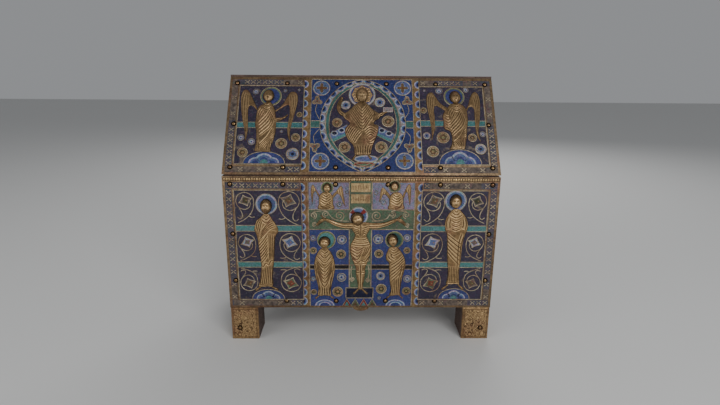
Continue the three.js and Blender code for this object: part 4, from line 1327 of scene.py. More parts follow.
def make_scrolls():
    lines = []
    flowers = []
    rows = (
        (118.4, 1, 1.0, (TAUPE, OLIVE), (TAUPE, BROWN)),
        (73.8, 1, 0.78, (PALE, TAUPE), (PALE, SKY)),
        (28.9, -1, 0.55, (TAUPE, BROWN), (GREEN, BRICK)),
    )
    for side in (-1, 1):
        for y, up, reach, far, near in rows:
            for x, size, across, (outer, heart) in (
                (side * 118.2, 0.97, -side, far), (side * 73.6, 1.14, side, near)
            ):
                lines += scroll(x, y, size, across, up, reach)
                middle = (x + across * 0.5, y + up * 0.6)
                turn = 0.35 * across
                flowers.append(flat(lozenge(*middle, 7.2 * size, turn), INNER, outer))
                flowers.append(flat(lozenge(*middle, 4.6 * size, turn + 0.25), CELL, heart))
                flowers.append(disc(middle[0] + 1, middle[1], 0.7, PALE_GOLD, CELL + 0.05, 10))
                edge = lozenge(*middle, 7.5 * size, turn)
                lines.append(edge + edge[:1])
    return lines, flowers


def title_boards():
    """The two boards over the cross, with rows of strokes that are no letters."""
    boards = [
        flat(rectangle(-10.8, low, 8.8, high), 0.35) for low, high in ((128.4, 137.4), (116.6, 125.9))
    ]
    strokes = []
    for low in (130.6, 118.9):
        for step in range(7):
            x = -8.4 + 2.5 * step
            strokes.append([(x, low), (x + 0.3 * (step % 3 - 1), low + 4.6)])
            if step % 2:
                strokes.append([(x, low + 1.6 + step % 3), (x + 1.5, low + 1.9)])
    return boards + [darkened(wires(strokes, 0.25, level=0.36), 0.6)]


def set_heads(heads, plate, finish):
    for node, (spot, sizes, lean, beard, hair_shade) in heads.items():
        pieces = [head(*spot, *sizes, lean, beard, hair_shade)]
        fixed(pieces, f"chased_{node}", plate, finish, node, 70)


def set_figures(figures, plate, finish):
    for name, make in figures.items():
        fixed(make(), f"{name}_figure", plate, finish, smooth_angle=60)


def make_front_wall():
    name = "front_wall"
    plate = front_wall
    copper = [sheet(WIDTH, WALL_HEIGHT), lip(17, 3.8)]
    fixed(copper, f"{name}_sheet", plate, brown_gilt, "front_wall_plate")
    nails = nail_row(WIDTH, NAIL_INSET)[1:-1] + nail_row(WIDTH, WALL_HEIGHT - NAIL_INSET)
    nails += nail_pairs(WIDTH, [0.22 * WALL_HEIGHT, 0.58 * WALL_HEIGHT])
    grounds, lines = cross_grounds()
    crosslets = []
    for side, worn_top, worn_side, worn_bottom in (
        (-1, [(0.18, 0.2)], [(0.0, 0.14)], [(0.16, 0.98)]),
        (1, [(0.08, 0.78)], [(0.0, 0.1)], [(0.0, 0.7)]),
    ):
        ground, crosses, frame_line = side_panel(
            side, *WALL_FIELD, WALL_TOP, nails, worn_top, worn_side, worn_bottom
        )
        grounds += ground
        crosslets += crosses
        lines.append(frame_line)
        left, right = sorted((side * FIELD_INNER, side * FIELD_OUTER))
        for low, high in ((86.4, 92.6), (46.6, 52.6)):
            grounds.append(panel(left, low, right, high, TURQUOISE, BAND))
            lines.append(bar_lines(left, right, (low, high), 0.45))
    fixed(grounds, f"{name}_enamel_grounds", plate, enamel)
    fixed(crosslets, f"{name}_crosslets", plate, pale_gilt)
    fixed([cloud_ground(side, 2.4, WALL_TOP) for side in (-1, 1)], f"{name}_cloud_grounds", plate, gilt)
    clouds = cloud_band(-61.4, 2.5, WALL_TOP, 13, 1) + cloud_band(61.4, 2.5, WALL_TOP, 13, -1)
    fixed(clouds, f"{name}_clouds", plate, enamel)
    lines.append(wires([[(x, 2.4), (x, WALL_TOP)] for x in (-CLOUD_INNER, CLOUD_INNER)], 0.5, level=0.12))

    scroll_lines, flowers = make_scrolls()
    fixed(flowers, f"{name}_scroll_flowers", plate, enamel)
    scrolls = wires(scroll_lines, 0.47, level=0.2)
    tendrils = wires(arm_tendrils(), 0.52, level=0.2)
    petals, flower_lines = rosettes(WALL_FLOWERS)
    fixed(petals, f"{name}_rosettes", plate, enamel)

    haloes = []
    for x, y, radius, rim, ground in (
        (-96.5, 115.2, 10.8, PALE, SKY), (95.6, 119.4, 10.8, PALE, SKY), (-36.3, 77, 9.4, LEAF, TURQUOISE),
        (34.2, 77.2, 9.2, LEAF, TEAL), (*CROSS_NIMBUS, 9.6, PALE, SKY), (-34.8, 132.5, 6.2, LEAF, TEAL),
        (33, 134.2, 6.0, LEAF, TEAL),
    ):
        pieces, line = halo(x, y, radius, rim, ground)
        haloes += pieces
        lines.append(line)
    for turn in (-0.27 * math.pi, 0.3 * math.pi):
        arm = [(-1.3, 4), (1.3, 4), (2.3, 9), (-2.3, 9)]
        haloes.append(flat(turned(arm, *CROSS_NIMBUS, turn), CELL + 0.1, RED))
    fixed(haloes, f"{name}_haloes", plate, enamel)

    mounds = []
    for x, base, half_width, height in ((-98.5, 10.3, 16.6, 10.4), (99.5, 10.6, 16.4, 11)):
        pieces, line = mound(x, base, half_width, height)
        mounds += pieces
        lines.append(line)
    for x in (-38.6, 37):
        for size, level, tint in (
            (1, INNER, PALE), (0.86, CELL, SKY), (0.62, CELL + 0.05, PALE), (0.5, CELL + 0.1, ROYAL)
        ):
            mounds.append(flat(oval(x, 2.4, 10.4 * size, 7 * size, 24, 0, math.pi), level, tint))
    fixed(mounds, f"{name}_mounds", plate, enamel)
    fixed(title_boards(), f"{name}_title_boards", plate, board_gilt)
    lines += flower_lines + [scrolls, tendrils]
    fixed(lines, f"{name}_copper_lines", plate, pale_gilt)
    # A dark strip under the beading: painted shadow in the seam between wall and roof
    ground = darkened(flat(rectangle(-139, 139.4, 139, 142.6), 0.12), 1.0)
    fixed(beading(-138.6, 138.6, 141, 2.5, 1.2) + [ground], f"{name}_beading", plate, board_gilt)
    fixed(rivets(nails), f"{name}_nails", plate, nail_bronze)
    set_figures(WALL_FIGURES, plate, gilt)
    set_heads(WALL_HEADS, plate, dark_gilt)


# The front of the roof
SLANT = (SHEET_THICKNESS / math.tan(ROOF_PITCH), SHEET_THICKNESS * math.tan(ROOF_PITCH))
ROOF_FIELD = (11.8, 101.2)
ROOF_TOP = 109.4
GLORY = (1.1, 56.4)
NIMBUS = (0.5, 91.4)


def almond(half_width, half_height, sides=80):
    """An upright almond, blunt at its head and pointed at its foot."""
    points = []
    for x, y in oval(0, 0, 1, 1, sides):
        blunt = 0.58 if y > 0 else 0.82
        reach = math.copysign(max(0.0, 1 - abs(y) ** 2.2) ** blunt, x)
        points.append((GLORY[0] + half_width * reach, GLORY[1] + half_height * y))
    return points


def angel_folds(middle, shoulder, hem, half):
    """A mantle that falls from one shoulder across the breast, and long steep folds down to the hem."""
    waist = hem + 0.55 * (shoulder - hem)

    def fold(*spots):
        return [(middle + half * across, y) for across, y in spots]

    folds = pleats(
        (
            fold((-0.35, shoulder - 0.6), (0, shoulder - 2.8), (0.35, shoulder - 0.6)),
            fold((-0.5, shoulder - 4), (0, shoulder - 7), (0.5, shoulder - 4)), 2,
        ),
        (
            fold((0.45, shoulder - 6), (0, shoulder - 14), (-0.75, shoulder - 23)),
            fold((0.85, shoulder - 15), (0.5, waist - 2), (-0.6, waist - 13)), 5,
        ),
        (
            fold((-0.55, shoulder - 5), (-0.82, shoulder - 11), (-0.85, shoulder - 17)),
            fold((-0.2, shoulder - 9), (-0.4, shoulder - 13), (-0.6, shoulder - 17)), 3,
        ),
        (
            fold((0.8, waist - 4), (0.25, waist - 14), (-0.6, hem + 6)),
            fold((0.85, waist - 15), (0.6, hem + 12), (0.05, hem + 2)), 5,
        ),
        (
            fold((-0.8, waist - 14), (-0.78, hem + 9), (-0.82, hem + 2)),
            fold((-0.55, waist - 18), (-0.6, hem + 7), (-0.55, hem + 2)), 2,
        ),
        (fold((0.32, hem + 9), (0.28, hem + 1.6)), fold((0.8, hem + 14), (0.72, hem + 1.6)), 3),
    )
    return folds


def roof_left_angel():
    robe = [
        (-99.4, 82.4), (-103, 80), (-107, 77.4), (-109.4, 72), (-110, 64), (-110.3, 56), (-108.8, 48),
        (-108, 38), (-108.3, 31), (-109, 25.4), (-103.6, 24.8), (-98.4, 24.2), (-92.6, 24.8), (-92.4, 30),
        (-90, 38), (-88.5, 46), (-88.2, 55), (-88.8, 64), (-90.2, 72), (-92.4, 78), (-95.4, 82.2),
    ]
    left = [
        (-108.8, 74.6), (-112.4, 82), (-116, 90), (-119.2, 95.4), (-122.6, 97.2), (-125.8, 95),
        (-127.2, 89), (-126.6, 79), (-124.8, 67), (-122.4, 55), (-120.2, 45), (-119.2, 36), (-117.4, 42),
        (-116.8, 52), (-117.8, 64), (-118.2, 73), (-116.4, 77.4), (-112.8, 75.8), (-109.6, 72.4),
    ]
    right = [
        (-90.4, 72.4), (-86, 75.8), (-82, 81.4), (-79, 88), (-75.8, 93.8), (-72, 95), (-68.2, 92.6),
        (-66.7, 86), (-67.8, 77), (-70, 67), (-72.2, 56), (-73.4, 46), (-73, 36), (-76, 42),
        (-77, 51), (-76, 62), (-75.3, 72), (-76.4, 78), (-80, 77.2), (-84.6, 74), (-89.6, 70.4),
    ]
    sleeve = [(-91, 60.6, 2.9), (-86.6, 61.6, 2.3), (-82.4, 62.6, 1.7)]
    return [
        body(robe, angel_folds(-99.2, 80, 25.6, 9.6), shade=0.7),
        wing(
            left,
            [(-123.6, 94), (-125.2, 84), (-123.4, 66), (-119.8, 44)],
            [(-119.6, 92), (-119.8, 82), (-119.6, 66), (-118.6, 46)],
        ),
        wing(
            right,
            [(-70.4, 92), (-69.2, 82), (-71.8, 64), (-74.2, 44)],
            [(-75, 90), (-74.2, 80), (-74.2, 66), (-75.4, 48)],
        ),
        limb(sleeve, [[(-90, 60), (-84, 61.6)]], height=0.95),
        hand((-83, 62.6), (-80.2, 64), (-77, 66.8), 1.3),
    ]


def roof_right_angel():
    robe = [
        (96.8, 82.4), (92.6, 80), (89.4, 76), (86, 71), (84.2, 66), (85, 60), (84.6, 55), (86.4, 50.6),
        (91, 48.6), (92.6, 42), (92.2, 35), (89.4, 28.4), (95, 28), (100, 28.6), (105, 28.4), (107, 35),
        (108.4, 43), (109.6, 52), (111, 61), (111, 70), (109.4, 76.6), (106, 80.4), (102, 82.4),
    ]
    left = [
        (90.4, 76.6), (86, 79.6), (81.8, 84), (78.6, 90), (75.6, 94.6), (72.2, 95), (69, 91.8),
        (67.9, 84), (68.8, 74), (70.8, 62), (72, 50), (71.6, 38), (74.4, 45), (76.4, 55),
        (76.4, 66), (76, 73), (77.6, 78.4), (81.6, 76.8), (86.4, 73.4), (89.8, 71.4),
    ]
    right = [
        (109.4, 74.6), (112, 80), (114, 87), (116.6, 93), (119.6, 96), (123.2, 94.4),
        (125.2, 88.6), (125.3, 79), (124.2, 68), (122.6, 57), (121.2, 47), (122.6, 37),
        (119, 43), (117.8, 52), (117.6, 63), (118, 73), (116.2, 77.6), (113, 76.6), (110.4, 72),
    ]
    folds = angel_folds(99.4, 80, 29.4, 9.6)
    folds += family([(86, 68.6), (88.8, 66), (92, 66.4)], [(86, 58.6), (89.4, 56), (92.4, 57.4)], 4)
    folds.append([(86.4, 54), (90, 52), (92.4, 50)])
    return [
        body(robe, folds, shade=0.7),
        wing(
            left,
            [(71.8, 92), (70.2, 82), (72.4, 62), (73, 46)],
            [(76, 90.6), (74.6, 81), (74.8, 66), (74.4, 50)],
        ),
        wing(
            right,
            [(122.4, 92), (123.6, 80), (121.8, 62), (120.8, 46)],
            [(118.4, 91), (120, 80), (119.6, 64), (119.4, 50)],
        ),
        hand((91, 61), (95.4, 63.4), (99, 67.4), 1.8),
    ]


def enthroned():
    robe = [
        (-2.8, 82.6), (-6.6, 80.4), (-10.6, 76), (-15.4, 71), (-20.6, 68.2), (-18, 63),
        (-13, 58.6), (-13.4, 56), (-16.8, 53), (-17.6, 47.6), (-16, 41.6), (-13, 36.6),
        (-10, 33.6), (-8, 29), (-7, 21.8), (0.6, 21.2), (8.6, 21.8), (10, 27), (11.6, 32.4),
        (13.4, 37), (15.6, 42.6), (17.4, 49), (17.4, 54.6), (13.2, 57.2), (14, 60),
        (18.4, 63.4), (20.4, 68.4), (15, 71.4), (10.4, 76), (6.6, 80.4), (3.2, 82.6),
    ]
    folds = pleats(
        (
            [(-5.4, 79.6), (-2.8, 75.4), (0.3, 72.4), (3.4, 75.4), (6, 79.6)],
            [(-12.4, 68.6), (-6, 58.6), (0.3, 50.4), (6.6, 58.6), (12.8, 68.6)], 7,
        ),
        ([(-13.4, 71.6), (-13, 66), (-11.4, 60.6)], [(-18.8, 68), (-17, 65.4), (-15, 61)], 4),
        ([(13.4, 71.6), (13, 66), (11.6, 60.6)], [(18.6, 67.6), (17, 65.4), (15.2, 61)], 4),
        ([(-12, 54.6), (-14.6, 50), (-16.4, 45)], [(-0.4, 47.6), (-4.2, 42.4), (-8.6, 35)], 7),
        ([(2.8, 48.4), (9, 53), (15.6, 49)], [(6, 42.4), (9, 44.6), (12, 42.6)], 4),
        ([(3.4, 42), (8, 36.4), (14.6, 41)], [(4.6, 37.6), (8, 34), (12, 35.4)], 2),
        ([(-7.6, 33), (-6.2, 28), (-6, 22.8)], [(9.6, 33), (8.2, 28), (7.6, 22.8)], 7),
    )
    raised = [(-17.4, 67.4, 2.6), (-21.4, 69.4, 2.4), (-24.2, 74.6, 2)]
    return [
        body(robe, folds, height=0.85, crown=0.7, shade=0.85),
        foot((-6, 22), (-9.2, 16.4), 1.1),
        foot((6, 22), (9.4, 17.4), 1.1),
        hand((-22.6, 69.6), (-24, 77), (-20.6, 88), 2.4),
        limb(raised, [[(-19, 67), (-23, 71)]], height=1.0),
        limb([(17, 67, 2.6), (21, 68.4, 2.3), (24, 71, 1.8)], [[(18.4, 66.6), (22, 68.6)]], height=1.0),
        hand((23.4, 70), (26, 71.6), (29, 72.4), 1.8),
    ]


ROOF_FIGURES = {
    "roof_left_angel": roof_left_angel,
    "roof_right_angel": roof_right_angel,
    "roof_enthroned": enthroned,
}
ROOF_HEADS = {
    "roof_left_angel_head": ((-98, 88.5), (5.3, 7.2, 3.7), -0.05, 0, 0.55),
    "roof_right_angel_head": ((99, 88.2), (5.3, 7.2, 3.7), 0.1, 0, 0.55),
}
ENTHRONED_HEAD = {"roof_enthroned_head": ((0.6, 90.6), (6, 7.7, 4), 0, 0.25, 0.5)}
ROOF_FLOWERS = [
    (-123.6, 40.5, 3.4, WHITE_ON_BLUE), (-112.5, 35.9, 3.6, WHITE_ON_BLUE), (-120.7, 23.8, 5.2, GOLD_BROWN),
    (-82, 34.1, 5.8, GOLD_BROWN), (-67.8, 40.9, 4.5, GOLD_BROWN), (-70.1, 22.5, 6.5, BLUE_WHITE),
    (-82.4, 47.6, 1.6, WHITE_ON_BLUE), (-80.6, 95.6, 2, WHITE_ON_BLUE), (-66.2, 96.5, 1.5, WHITE_ON_BLUE),
    (-64.8, 67.2, 3, GOLD_GREEN), (-111.6, 94.2, 3.2, WHITE_ON_BLUE), (82.4, 96.5, 3.7, WHITE_ON_BLUE),
    (66.7, 96.8, 1.5, WHITE_ON_BLUE), (111, 98, 3, WHITE_ON_BLUE), (65, 73.1, 3.4, GOLD_BROWN),
    (66.9, 43.7, 3.8, BLUE_WHITE), (83.8, 41.8, 6.4, GOLD_BROWN), (72.5, 25.9, 6.1, GOLD_BROWN),
    (113.9, 41.6, 4.5, GOLD_BROWN), (125, 45.7, 3, WHITE_ON_BLUE), (121.5, 28.9, 5.7, BLUE_WHITE),
    (-16.8, 78.8, 5, BLUE_WHITE), (19.1, 82.5, 5.5, BLUE_WHITE), (-25.5, 58.2, 5.2, GOLD_BROWN),
    (27.4, 60, 6.4, GOLD_BROWN), (-17.6, 30.4, 5.8, GOLD_BROWN), (19.8, 30.6, 6.2, GOLD_BROWN),
]


def glory():
    """The almond-shaped glory: a ring of billows, then one of turquoise round a dark ground."""
    grounds = [
        flat(almond(44.4, 53.2), FIELD + 0.02, CLOUD_GROUND),
        flat(almond(38.4, 49.8), FIELD + 0.035, DULL_TURQUOISE),
        flat(almond(35.2, 47), BAND, INDIGO),
    ]
    lines = [
        wires([almond(44.4, 53.2)], 0.45, closed=True, level=0.15),
        wires([almond(38.6, 50)], 0.45, closed=True, level=0.16),
        wires([almond(35, 46.8)], 0.4, closed=True, level=0.16),
    ]
    motif = cloud_lobe()
    spots = []
    count = 28
    edge = np.array(almond(43.9, 52.7, 400))
    edge = np.vstack([edge, edge[:1]])
    along = np.concatenate([[0], np.cumsum(np.hypot(*np.diff(edge, axis=0).T))])
    for step in range(count):
        index = int(np.searchsorted(along, along[-1] * (step + 0.5) / count))
        way = edge[min(index + 1, len(edge) - 1)] - edge[index - 1]
        inward = math.atan2(way[1], way[0]) + QUARTER
        spots.append((*edge[index], 0.9, inward))
    billows = stamped(motif, spots)
    discard(motif)
    return grounds, lines, billows


def throne():
    """A band of billows at each side, a footrest and a crescent under it."""
    pieces = []
    lines = []
    for side in (-1, 1):
        band = [(side * 15, 56), (side * 34, 45), (side * 30, 35.6), (side * 15, 43.6)]
        edge = [(side * 15, 47), (side * 31.6, 39), (side * 30, 35.6), (side * 15, 43.6)]
        pieces.append(flat(band, CELL + 0.09, SKY))
        pieces.append(flat(edge, CELL + 0.12, TURQUOISE))
        for share in (0.3, 0.75):
            x = side * (16 + 16 * share)
            y = 51.8 - 7.8 * share
            pieces.append(flat(oval(x, y, 3.6, 2.9, 20), CELL + 0.14, PALE))
            pieces.append(flat(oval(x, y, 2.4, 1.8, 16), CELL + 0.18, NIGHT))
        lines.append(wires([band], 0.4, closed=True, level=0.34))
    pieces += [
        flat(oval(4.4, 17.4, 12, 3.8, 28), CELL + 0.1, PALE),
        flat(oval(4.4, 17.4, 10.4, 2.6, 28), CELL + 0.14, SKY),
        flat(oval(2.6, 11.4, 10.4, 2.6, 28), CELL + 0.1, RED),
        flat(oval(2.6, 11, 8.4, 1.3, 24), CELL + 0.14, GREEN),
    ]
    lines.append(
        wires([oval(4.4, 17.4, 12.2, 4, 32), oval(2.6, 11.4, 10.6, 2.8, 28)], 0.35, closed=True, level=0.32)
    )
    return pieces, lines


def trefoil(x, y, size, turn):
    """A leaf of three lobes that points this way."""
    points = []
    for step in range(48):
        angle = 2 * math.pi * step / 48
        reach = size * (1 + 0.34 * math.cos(3 * angle))
        points.append((x + reach * math.cos(angle + turn), y + reach * math.sin(angle + turn)))
    return points


def roof_corners():
    """Discs with four-petalled stars, and leaves on their stems, between the glory and its frame."""
    enamels = []
    lines = []
    stars = []
    for x, y in ((-42.4, 99.4), (43.6, 100), (-42, 14.8), (43.2, 15.4)):
        enamels.append(disc(x, y, 8.8, PALE, INNER, 32))
        enamels.append(disc(x, y, 8.0, SKY, CELL, 32))
        enamels.append(flat(oval(x, y, 4.6, 4.6, 48, lobes=4, swell=0.42), CELL + 0.04, PALE))
        enamels.append(flat(oval(x, y, 4.1, 4.1, 48, lobes=4, swell=0.45), CELL + 0.08, BROWN))
        stars.append(flat(oval(x, y, 3.1, 3.1, 48, lobes=4, swell=0.45), 0.38))
        enamels.append(disc(x, y, 1.1, BRICK, 0.44, 12))
        lines.append(wires([oval(x, y, 9, 9, 32)], 0.3, closed=True, level=0.16))
    for x, y, bend in ((-46.8, 84, 1), (-48, 30.6, -1), (48, 84, 1), (48.6, 30.6, -1)):
        turn = QUARTER * bend
        leaf = trefoil(x, y, 4.3, turn)
        enamels.append(flat(leaf, INNER, GROUND_GOLD))
        enamels.append(flat(trefoil(x, y, 2.6, turn), CELL, TAUPE))
        enamels.append(disc(x, y - 0.6 * bend, 1.0, BRICK, CELL + 0.05, 12))
        enamels.append(disc(x, y + 2.1 * bend, 0.7, TEAL, CELL + 0.05, 12))
        foot_x = math.copysign(44.2, x)
        away = math.copysign(1, x)
        stem = [(x, y - bend * 3.4), (x + 1.4 * away, y - bend * 12), (foot_x, 56.5 + bend * 6)]
        curl = [(x, y + bend * 3.4), (x - 2 * away, y + bend * 7), (x - 5.4 * away, y + bend * 8)]
        lines.append(wires([leaf + leaf[:1], smooth(stem), smooth(curl)], 0.35, level=0.18))
    return enamels, lines, stars


def make_front_roof():
    name = "front_roof"
    plate = front_roof
    copper = [sheet(WIDTH, ROOF_SLOPE, *SLANT)]
    fixed(copper, f"{name}_sheet", plate, brown_gilt, "front_roof_plate")
    nails = edged_nails(WIDTH, ROOF_SLOPE)
    middle_left = -CENTRE + 0.8
    grounds = [
        panel(middle_left, 3.6, CENTRE, 109.8, ROOF_BLUE),
        panel(middle_left, 52.6, -43, 60.4, DULL_TURQUOISE, BAND),
        panel(45.2, 52.6, CENTRE, 60.4, DULL_TURQUOISE, BAND),
    ]
    lines = [
        bar_lines(middle_left, -43, (52.6, 60.4)),
        bar_lines(45.2, CENTRE, (52.6, 60.4)),
        frame_lines(middle_left - 0.4, 3.2, CENTRE + 0.4, 110.2, 0.55),
    ]
    crosslets = []
    for side, worn_top, worn_side, worn_bottom in (
        (-1, [(0.0, 0.28), (0.93, 1)], [(0.55, 1)], [(0.2, 1)]),
        (1, [(0.0, 0.2), (0.62, 0.74)], [(0.5, 1)], [(0.2, 1)]),
    ):
        ground, crosses, frame_line = side_panel(
            side, *ROOF_FIELD, ROOF_TOP, nails, worn_top, worn_side, worn_bottom, 6.4
        )
        grounds += ground
        crosslets += crosses
        lines.append(frame_line)
        left, right = sorted((side * FIELD_INNER, side * FIELD_OUTER))
        shift = 1.4 * (side + 1)
        grounds.append(panel(left, 52 + shift, right, 58.4 + shift, ROOF_TURQUOISE, BAND))
        lines.append(bar_lines(left, right, (52 + shift, 58.4 + shift), 0.35))
    glory_grounds, glory_lines, billows = glory()
    throne_pieces, throne_lines = throne()
    corners, corner_lines, stars = roof_corners()
    fixed(grounds + glory_grounds, f"{name}_enamel_grounds", plate, enamel)
    fixed(corners + throne_pieces, f"{name}_throne_and_corners", plate, enamel)
    fixed(crosslets, f"{name}_crosslets", plate, pale_gilt)
    fixed([cloud_ground(side, 3.6, ROOF_TOP) for side in (-1, 1)], f"{name}_cloud_grounds", plate, gilt)
    clouds = cloud_band(-60.8, 4, 110, 9, 1) + cloud_band(60.8, 4, 110, 9, -1)
    fixed(clouds + billows, f"{name}_clouds", plate, enamel)
    petals, flower_lines = rosettes(ROOF_FLOWERS)
    fixed(petals, f"{name}_rosettes", plate, enamel)

    haloes = []
    for x, y, radius in ((-95.5, 89, 11), (98, 89.8, 10.8)):
        pieces, line = halo(x, y, radius, LEAF, ROYAL)
        haloes += pieces
        lines.append(line)
    pieces, line = halo(*NIMBUS, 14, PALE, ROYAL)
    fixed(haloes + pieces, f"{name}_haloes", plate, enamel)
    rays = []
    for step in range(16):
        angle = 2 * math.pi * step / 16
        rays.append(turned([(7.4, 0), (8.6, 0), (9.8, 0)], *NIMBUS, angle))
    rim = np.array(oval(*NIMBUS, 10.9, 10.9, 72, lobes=8, swell=0.05))
    nimbus = relief(rim, rays, height=0.45, crown=0.1, roll=0.4, shade=0.5)
    lines += [line, wires([oval(*NIMBUS, 12.2, 12.2, 40)], 0.3, closed=True, level=0.28)]

    mounds = []
    for x, base, half_width, height in ((-98.6, 12.2, 20.4, 12.4), (99.8, 12.2, 21, 15.6)):
        pieces, line = mound(x, base, half_width, height)
        mounds += pieces
        lines.append(line)
    fixed(mounds, f"{name}_mounds", plate, enamel)
    lines += glory_lines + throne_lines + corner_lines + flower_lines
    fixed(lines, f"{name}_copper_lines", plate, pale_gilt)
    fixed(stars, f"{name}_stars", plate, darker_roof_gilt)
    fixed([nimbus], f"{name}_nimbus", plate, gilt)
    fixed(rivets(nails), f"{name}_nails", plate, nail_bronze)
    set_figures(ROOF_FIGURES, plate, darker_roof_gilt)
    book = [flat(rectangle(22.4, 70.6, 32.4, 76), 1.2, BOOK_WHITE)]
    book.append(flat(rectangle(23.2, 71.4, 31.6, 75.2), 1.28, CLOUD_GROUND))
    fixed(book, "roof_enthroned_book", plate, enamel)
    set_heads(ROOF_HEADS, plate, darker_roof_gilt)
    set_heads(ENTHRONED_HEAD, plate, crown_gilt)


# The plainer sides: a field of circled flowers inside the same borders
EDGE = 3.0
DIAPER_PITCH = 22.0


def diaper(left, bottom, right, top, pitch):
    columns = max(1, round((right - left) / pitch))
    rows = max(1, round((top - bottom) / pitch))
    step_x = (right - left) / columns
    step_y = (top - bottom) / rows
    flowers = []
    for row in range(rows):
        for column in range(columns):
            x = left + step_x * (column + 0.5)
            y = bottom + step_y * (row + 0.5)
            colours = (BLUE_WHITE, GOLD_GREEN, WHITE_ON_BLUE)[(row + column) % 3]
            flowers.append((x, y, 0.33 * min(step_x, step_y), colours))
    return flowers


def quatrefoils(flowers, size):
    return [oval(x, y, size, size, 32, lobes=4, swell=0.12) for x, y, _, _ in flowers]


def plain_side(name, plate, width, height, nails, sheet_edges=(0.0, 0.0)):
    fixed([sheet(width, height, *sheet_edges)], f"{name}_sheet", plate, brown_gilt, f"{name}_plate")
    half = width / 2
    inset = 11.5
    outer = EDGE
    inner = EDGE + STRIP
    ground = [
        panel(outer - half, outer, half - outer, inner, SLATE),
        panel(outer - half, height - inner, half - outer, height - outer, SLATE),
        panel(outer - half, outer, inner - half, height - outer, SLATE),
        panel(half - inner, outer, half - outer, height - outer, SLATE),
        panel(inset - half, inset, half - inset, height - inset, ROYAL),
    ]
    flowers = diaper(inset - half + 1, inset + 1, half - inset - 1, height - inset - 1, DIAPER_PITCH)
    ring = 0.42 * DIAPER_PITCH
    for x, y, _, _ in flowers:
        ground.append(flat(oval(x, y, ring, ring, 32, lobes=4, swell=0.12), BAND, INDIGO))
    petals, lines = rosettes(flowers)
    lines.append(wires(quatrefoils(flowers, ring), 0.42, closed=True, level=0.14))
    lines.append(frame_lines(inset - half - 0.8, inset - 0.8, half - inset + 0.8, height - inset + 0.8, 0.55))
    fixed(ground, f"{name}_enamel_grounds", plate, enamel)
    fixed(petals, f"{name}_rosettes", plate, enamel)
    fixed(lines, f"{name}_copper_lines", plate, pale_gilt)
    motif = crosslet()
    mid = EDGE + STRIP / 2
    rows = crosslet_row(motif, (mid + 4 - half, mid), (half - mid - 4, mid))
    rows += crosslet_row(motif, (mid + 4 - half, height - mid), (half - mid - 4, height - mid))
    for x in (mid - half, half - mid):
        rows += crosslet_row(motif, (x, mid + 4), (x, height - mid - 4))
    discard(motif)
    fixed(rows, f"{name}_crosslets", plate, pale_gilt)
    fixed(rivets(nails), f"{name}_nails", plate, nail_bronze)


def make_gable(side, plate):
    """A triangle of sheathing under the slopes of the roof."""
    name = f"{side}_gable"
    low, high = corners_of(f"{side}_gable_plate")
    base_half = (high[1] - low[1]) / 2
    height = high[2] - EAVE
    top_half = base_half - height / math.tan(ROOF_PITCH)

    def triangle(inset, bottom):
        slant = inset / math.sin(ROOF_PITCH)
        base = base_half - slant - bottom / math.tan(ROOF_PITCH)
        peak = min(height - 1, (base_half - slant) * math.tan(ROOF_PITCH))
        tip = max(0.3, base_half - slant - peak / math.tan(ROOF_PITCH))
        return [(-base, bottom), (base, bottom), (tip, peak), (-tip, peak)]

    outline = [(-base_half, 0), (base_half, 0), (top_half, height), (-top_half, height)]
    copper = [flat(outline, 0, low=-SHEET_THICKNESS)]
    fixed(copper, f"{name}_sheet", plate, brown_gilt, f"{side}_gable_plate")
    ground = [
        flat(triangle(3.2, 3), FIELD, SLATE),
        flat(triangle(11.5, 11.5), BAND, ROYAL),
    ]
    flowers = [
        (0, 24, 9.5, BLUE_WHITE), (-20.5, 20, 5.5, GOLD_GREEN), (20.5, 20, 5.5, GOLD_GREEN),
        (0, 44.5, 6.2, GOLD_GREEN), (-11, 38, 2.4, WHITE_ON_BLUE), (11, 38, 2.4, WHITE_ON_BLUE),
        (0, 57, 2.6, WHITE_ON_BLUE),
    ]
    petals, lines = rosettes(flowers)
    lines.append(wires([triangle(10.6, 10.6)], 0.55, closed=True, level=0.14))
    fixed(ground, f"{name}_enamel_grounds", plate, enamel)
    fixed(petals, f"{name}_rosettes", plate, enamel)
    fixed(lines, f"{name}_copper_lines", plate, pale_gilt)
    motif = crosslet()
    (left, bottom), (right, _), (_, peak), _ = triangle(7, 6.5)
    rows = crosslet_row(motif, (left + 7, bottom), (right - 7, bottom))
    for way in (-1, 1):
        rows += crosslet_row(motif, (way * (right - 4), bottom + 5), (way * 3, peak - 9))
    discard(motif)
    fixed(rows, f"{name}_crosslets", plate, pale_gilt)
    inner = base_half - NAIL_INSET / math.tan(ROOF_PITCH / 2) / 2

    def slope_pair(y):
        return [(way * (inner - y / math.tan(ROOF_PITCH)), y) for way in (-1, 1)]

    nails = slope_pair(NAIL_INSET) + [(0, NAIL_INSET)]
    nails += slope_pair(0.45 * ROOF_RISE) + [(0, 0.78 * ROOF_RISE)]
    fixed(rivets(nails), f"{name}_nails", plate, nail_bronze)


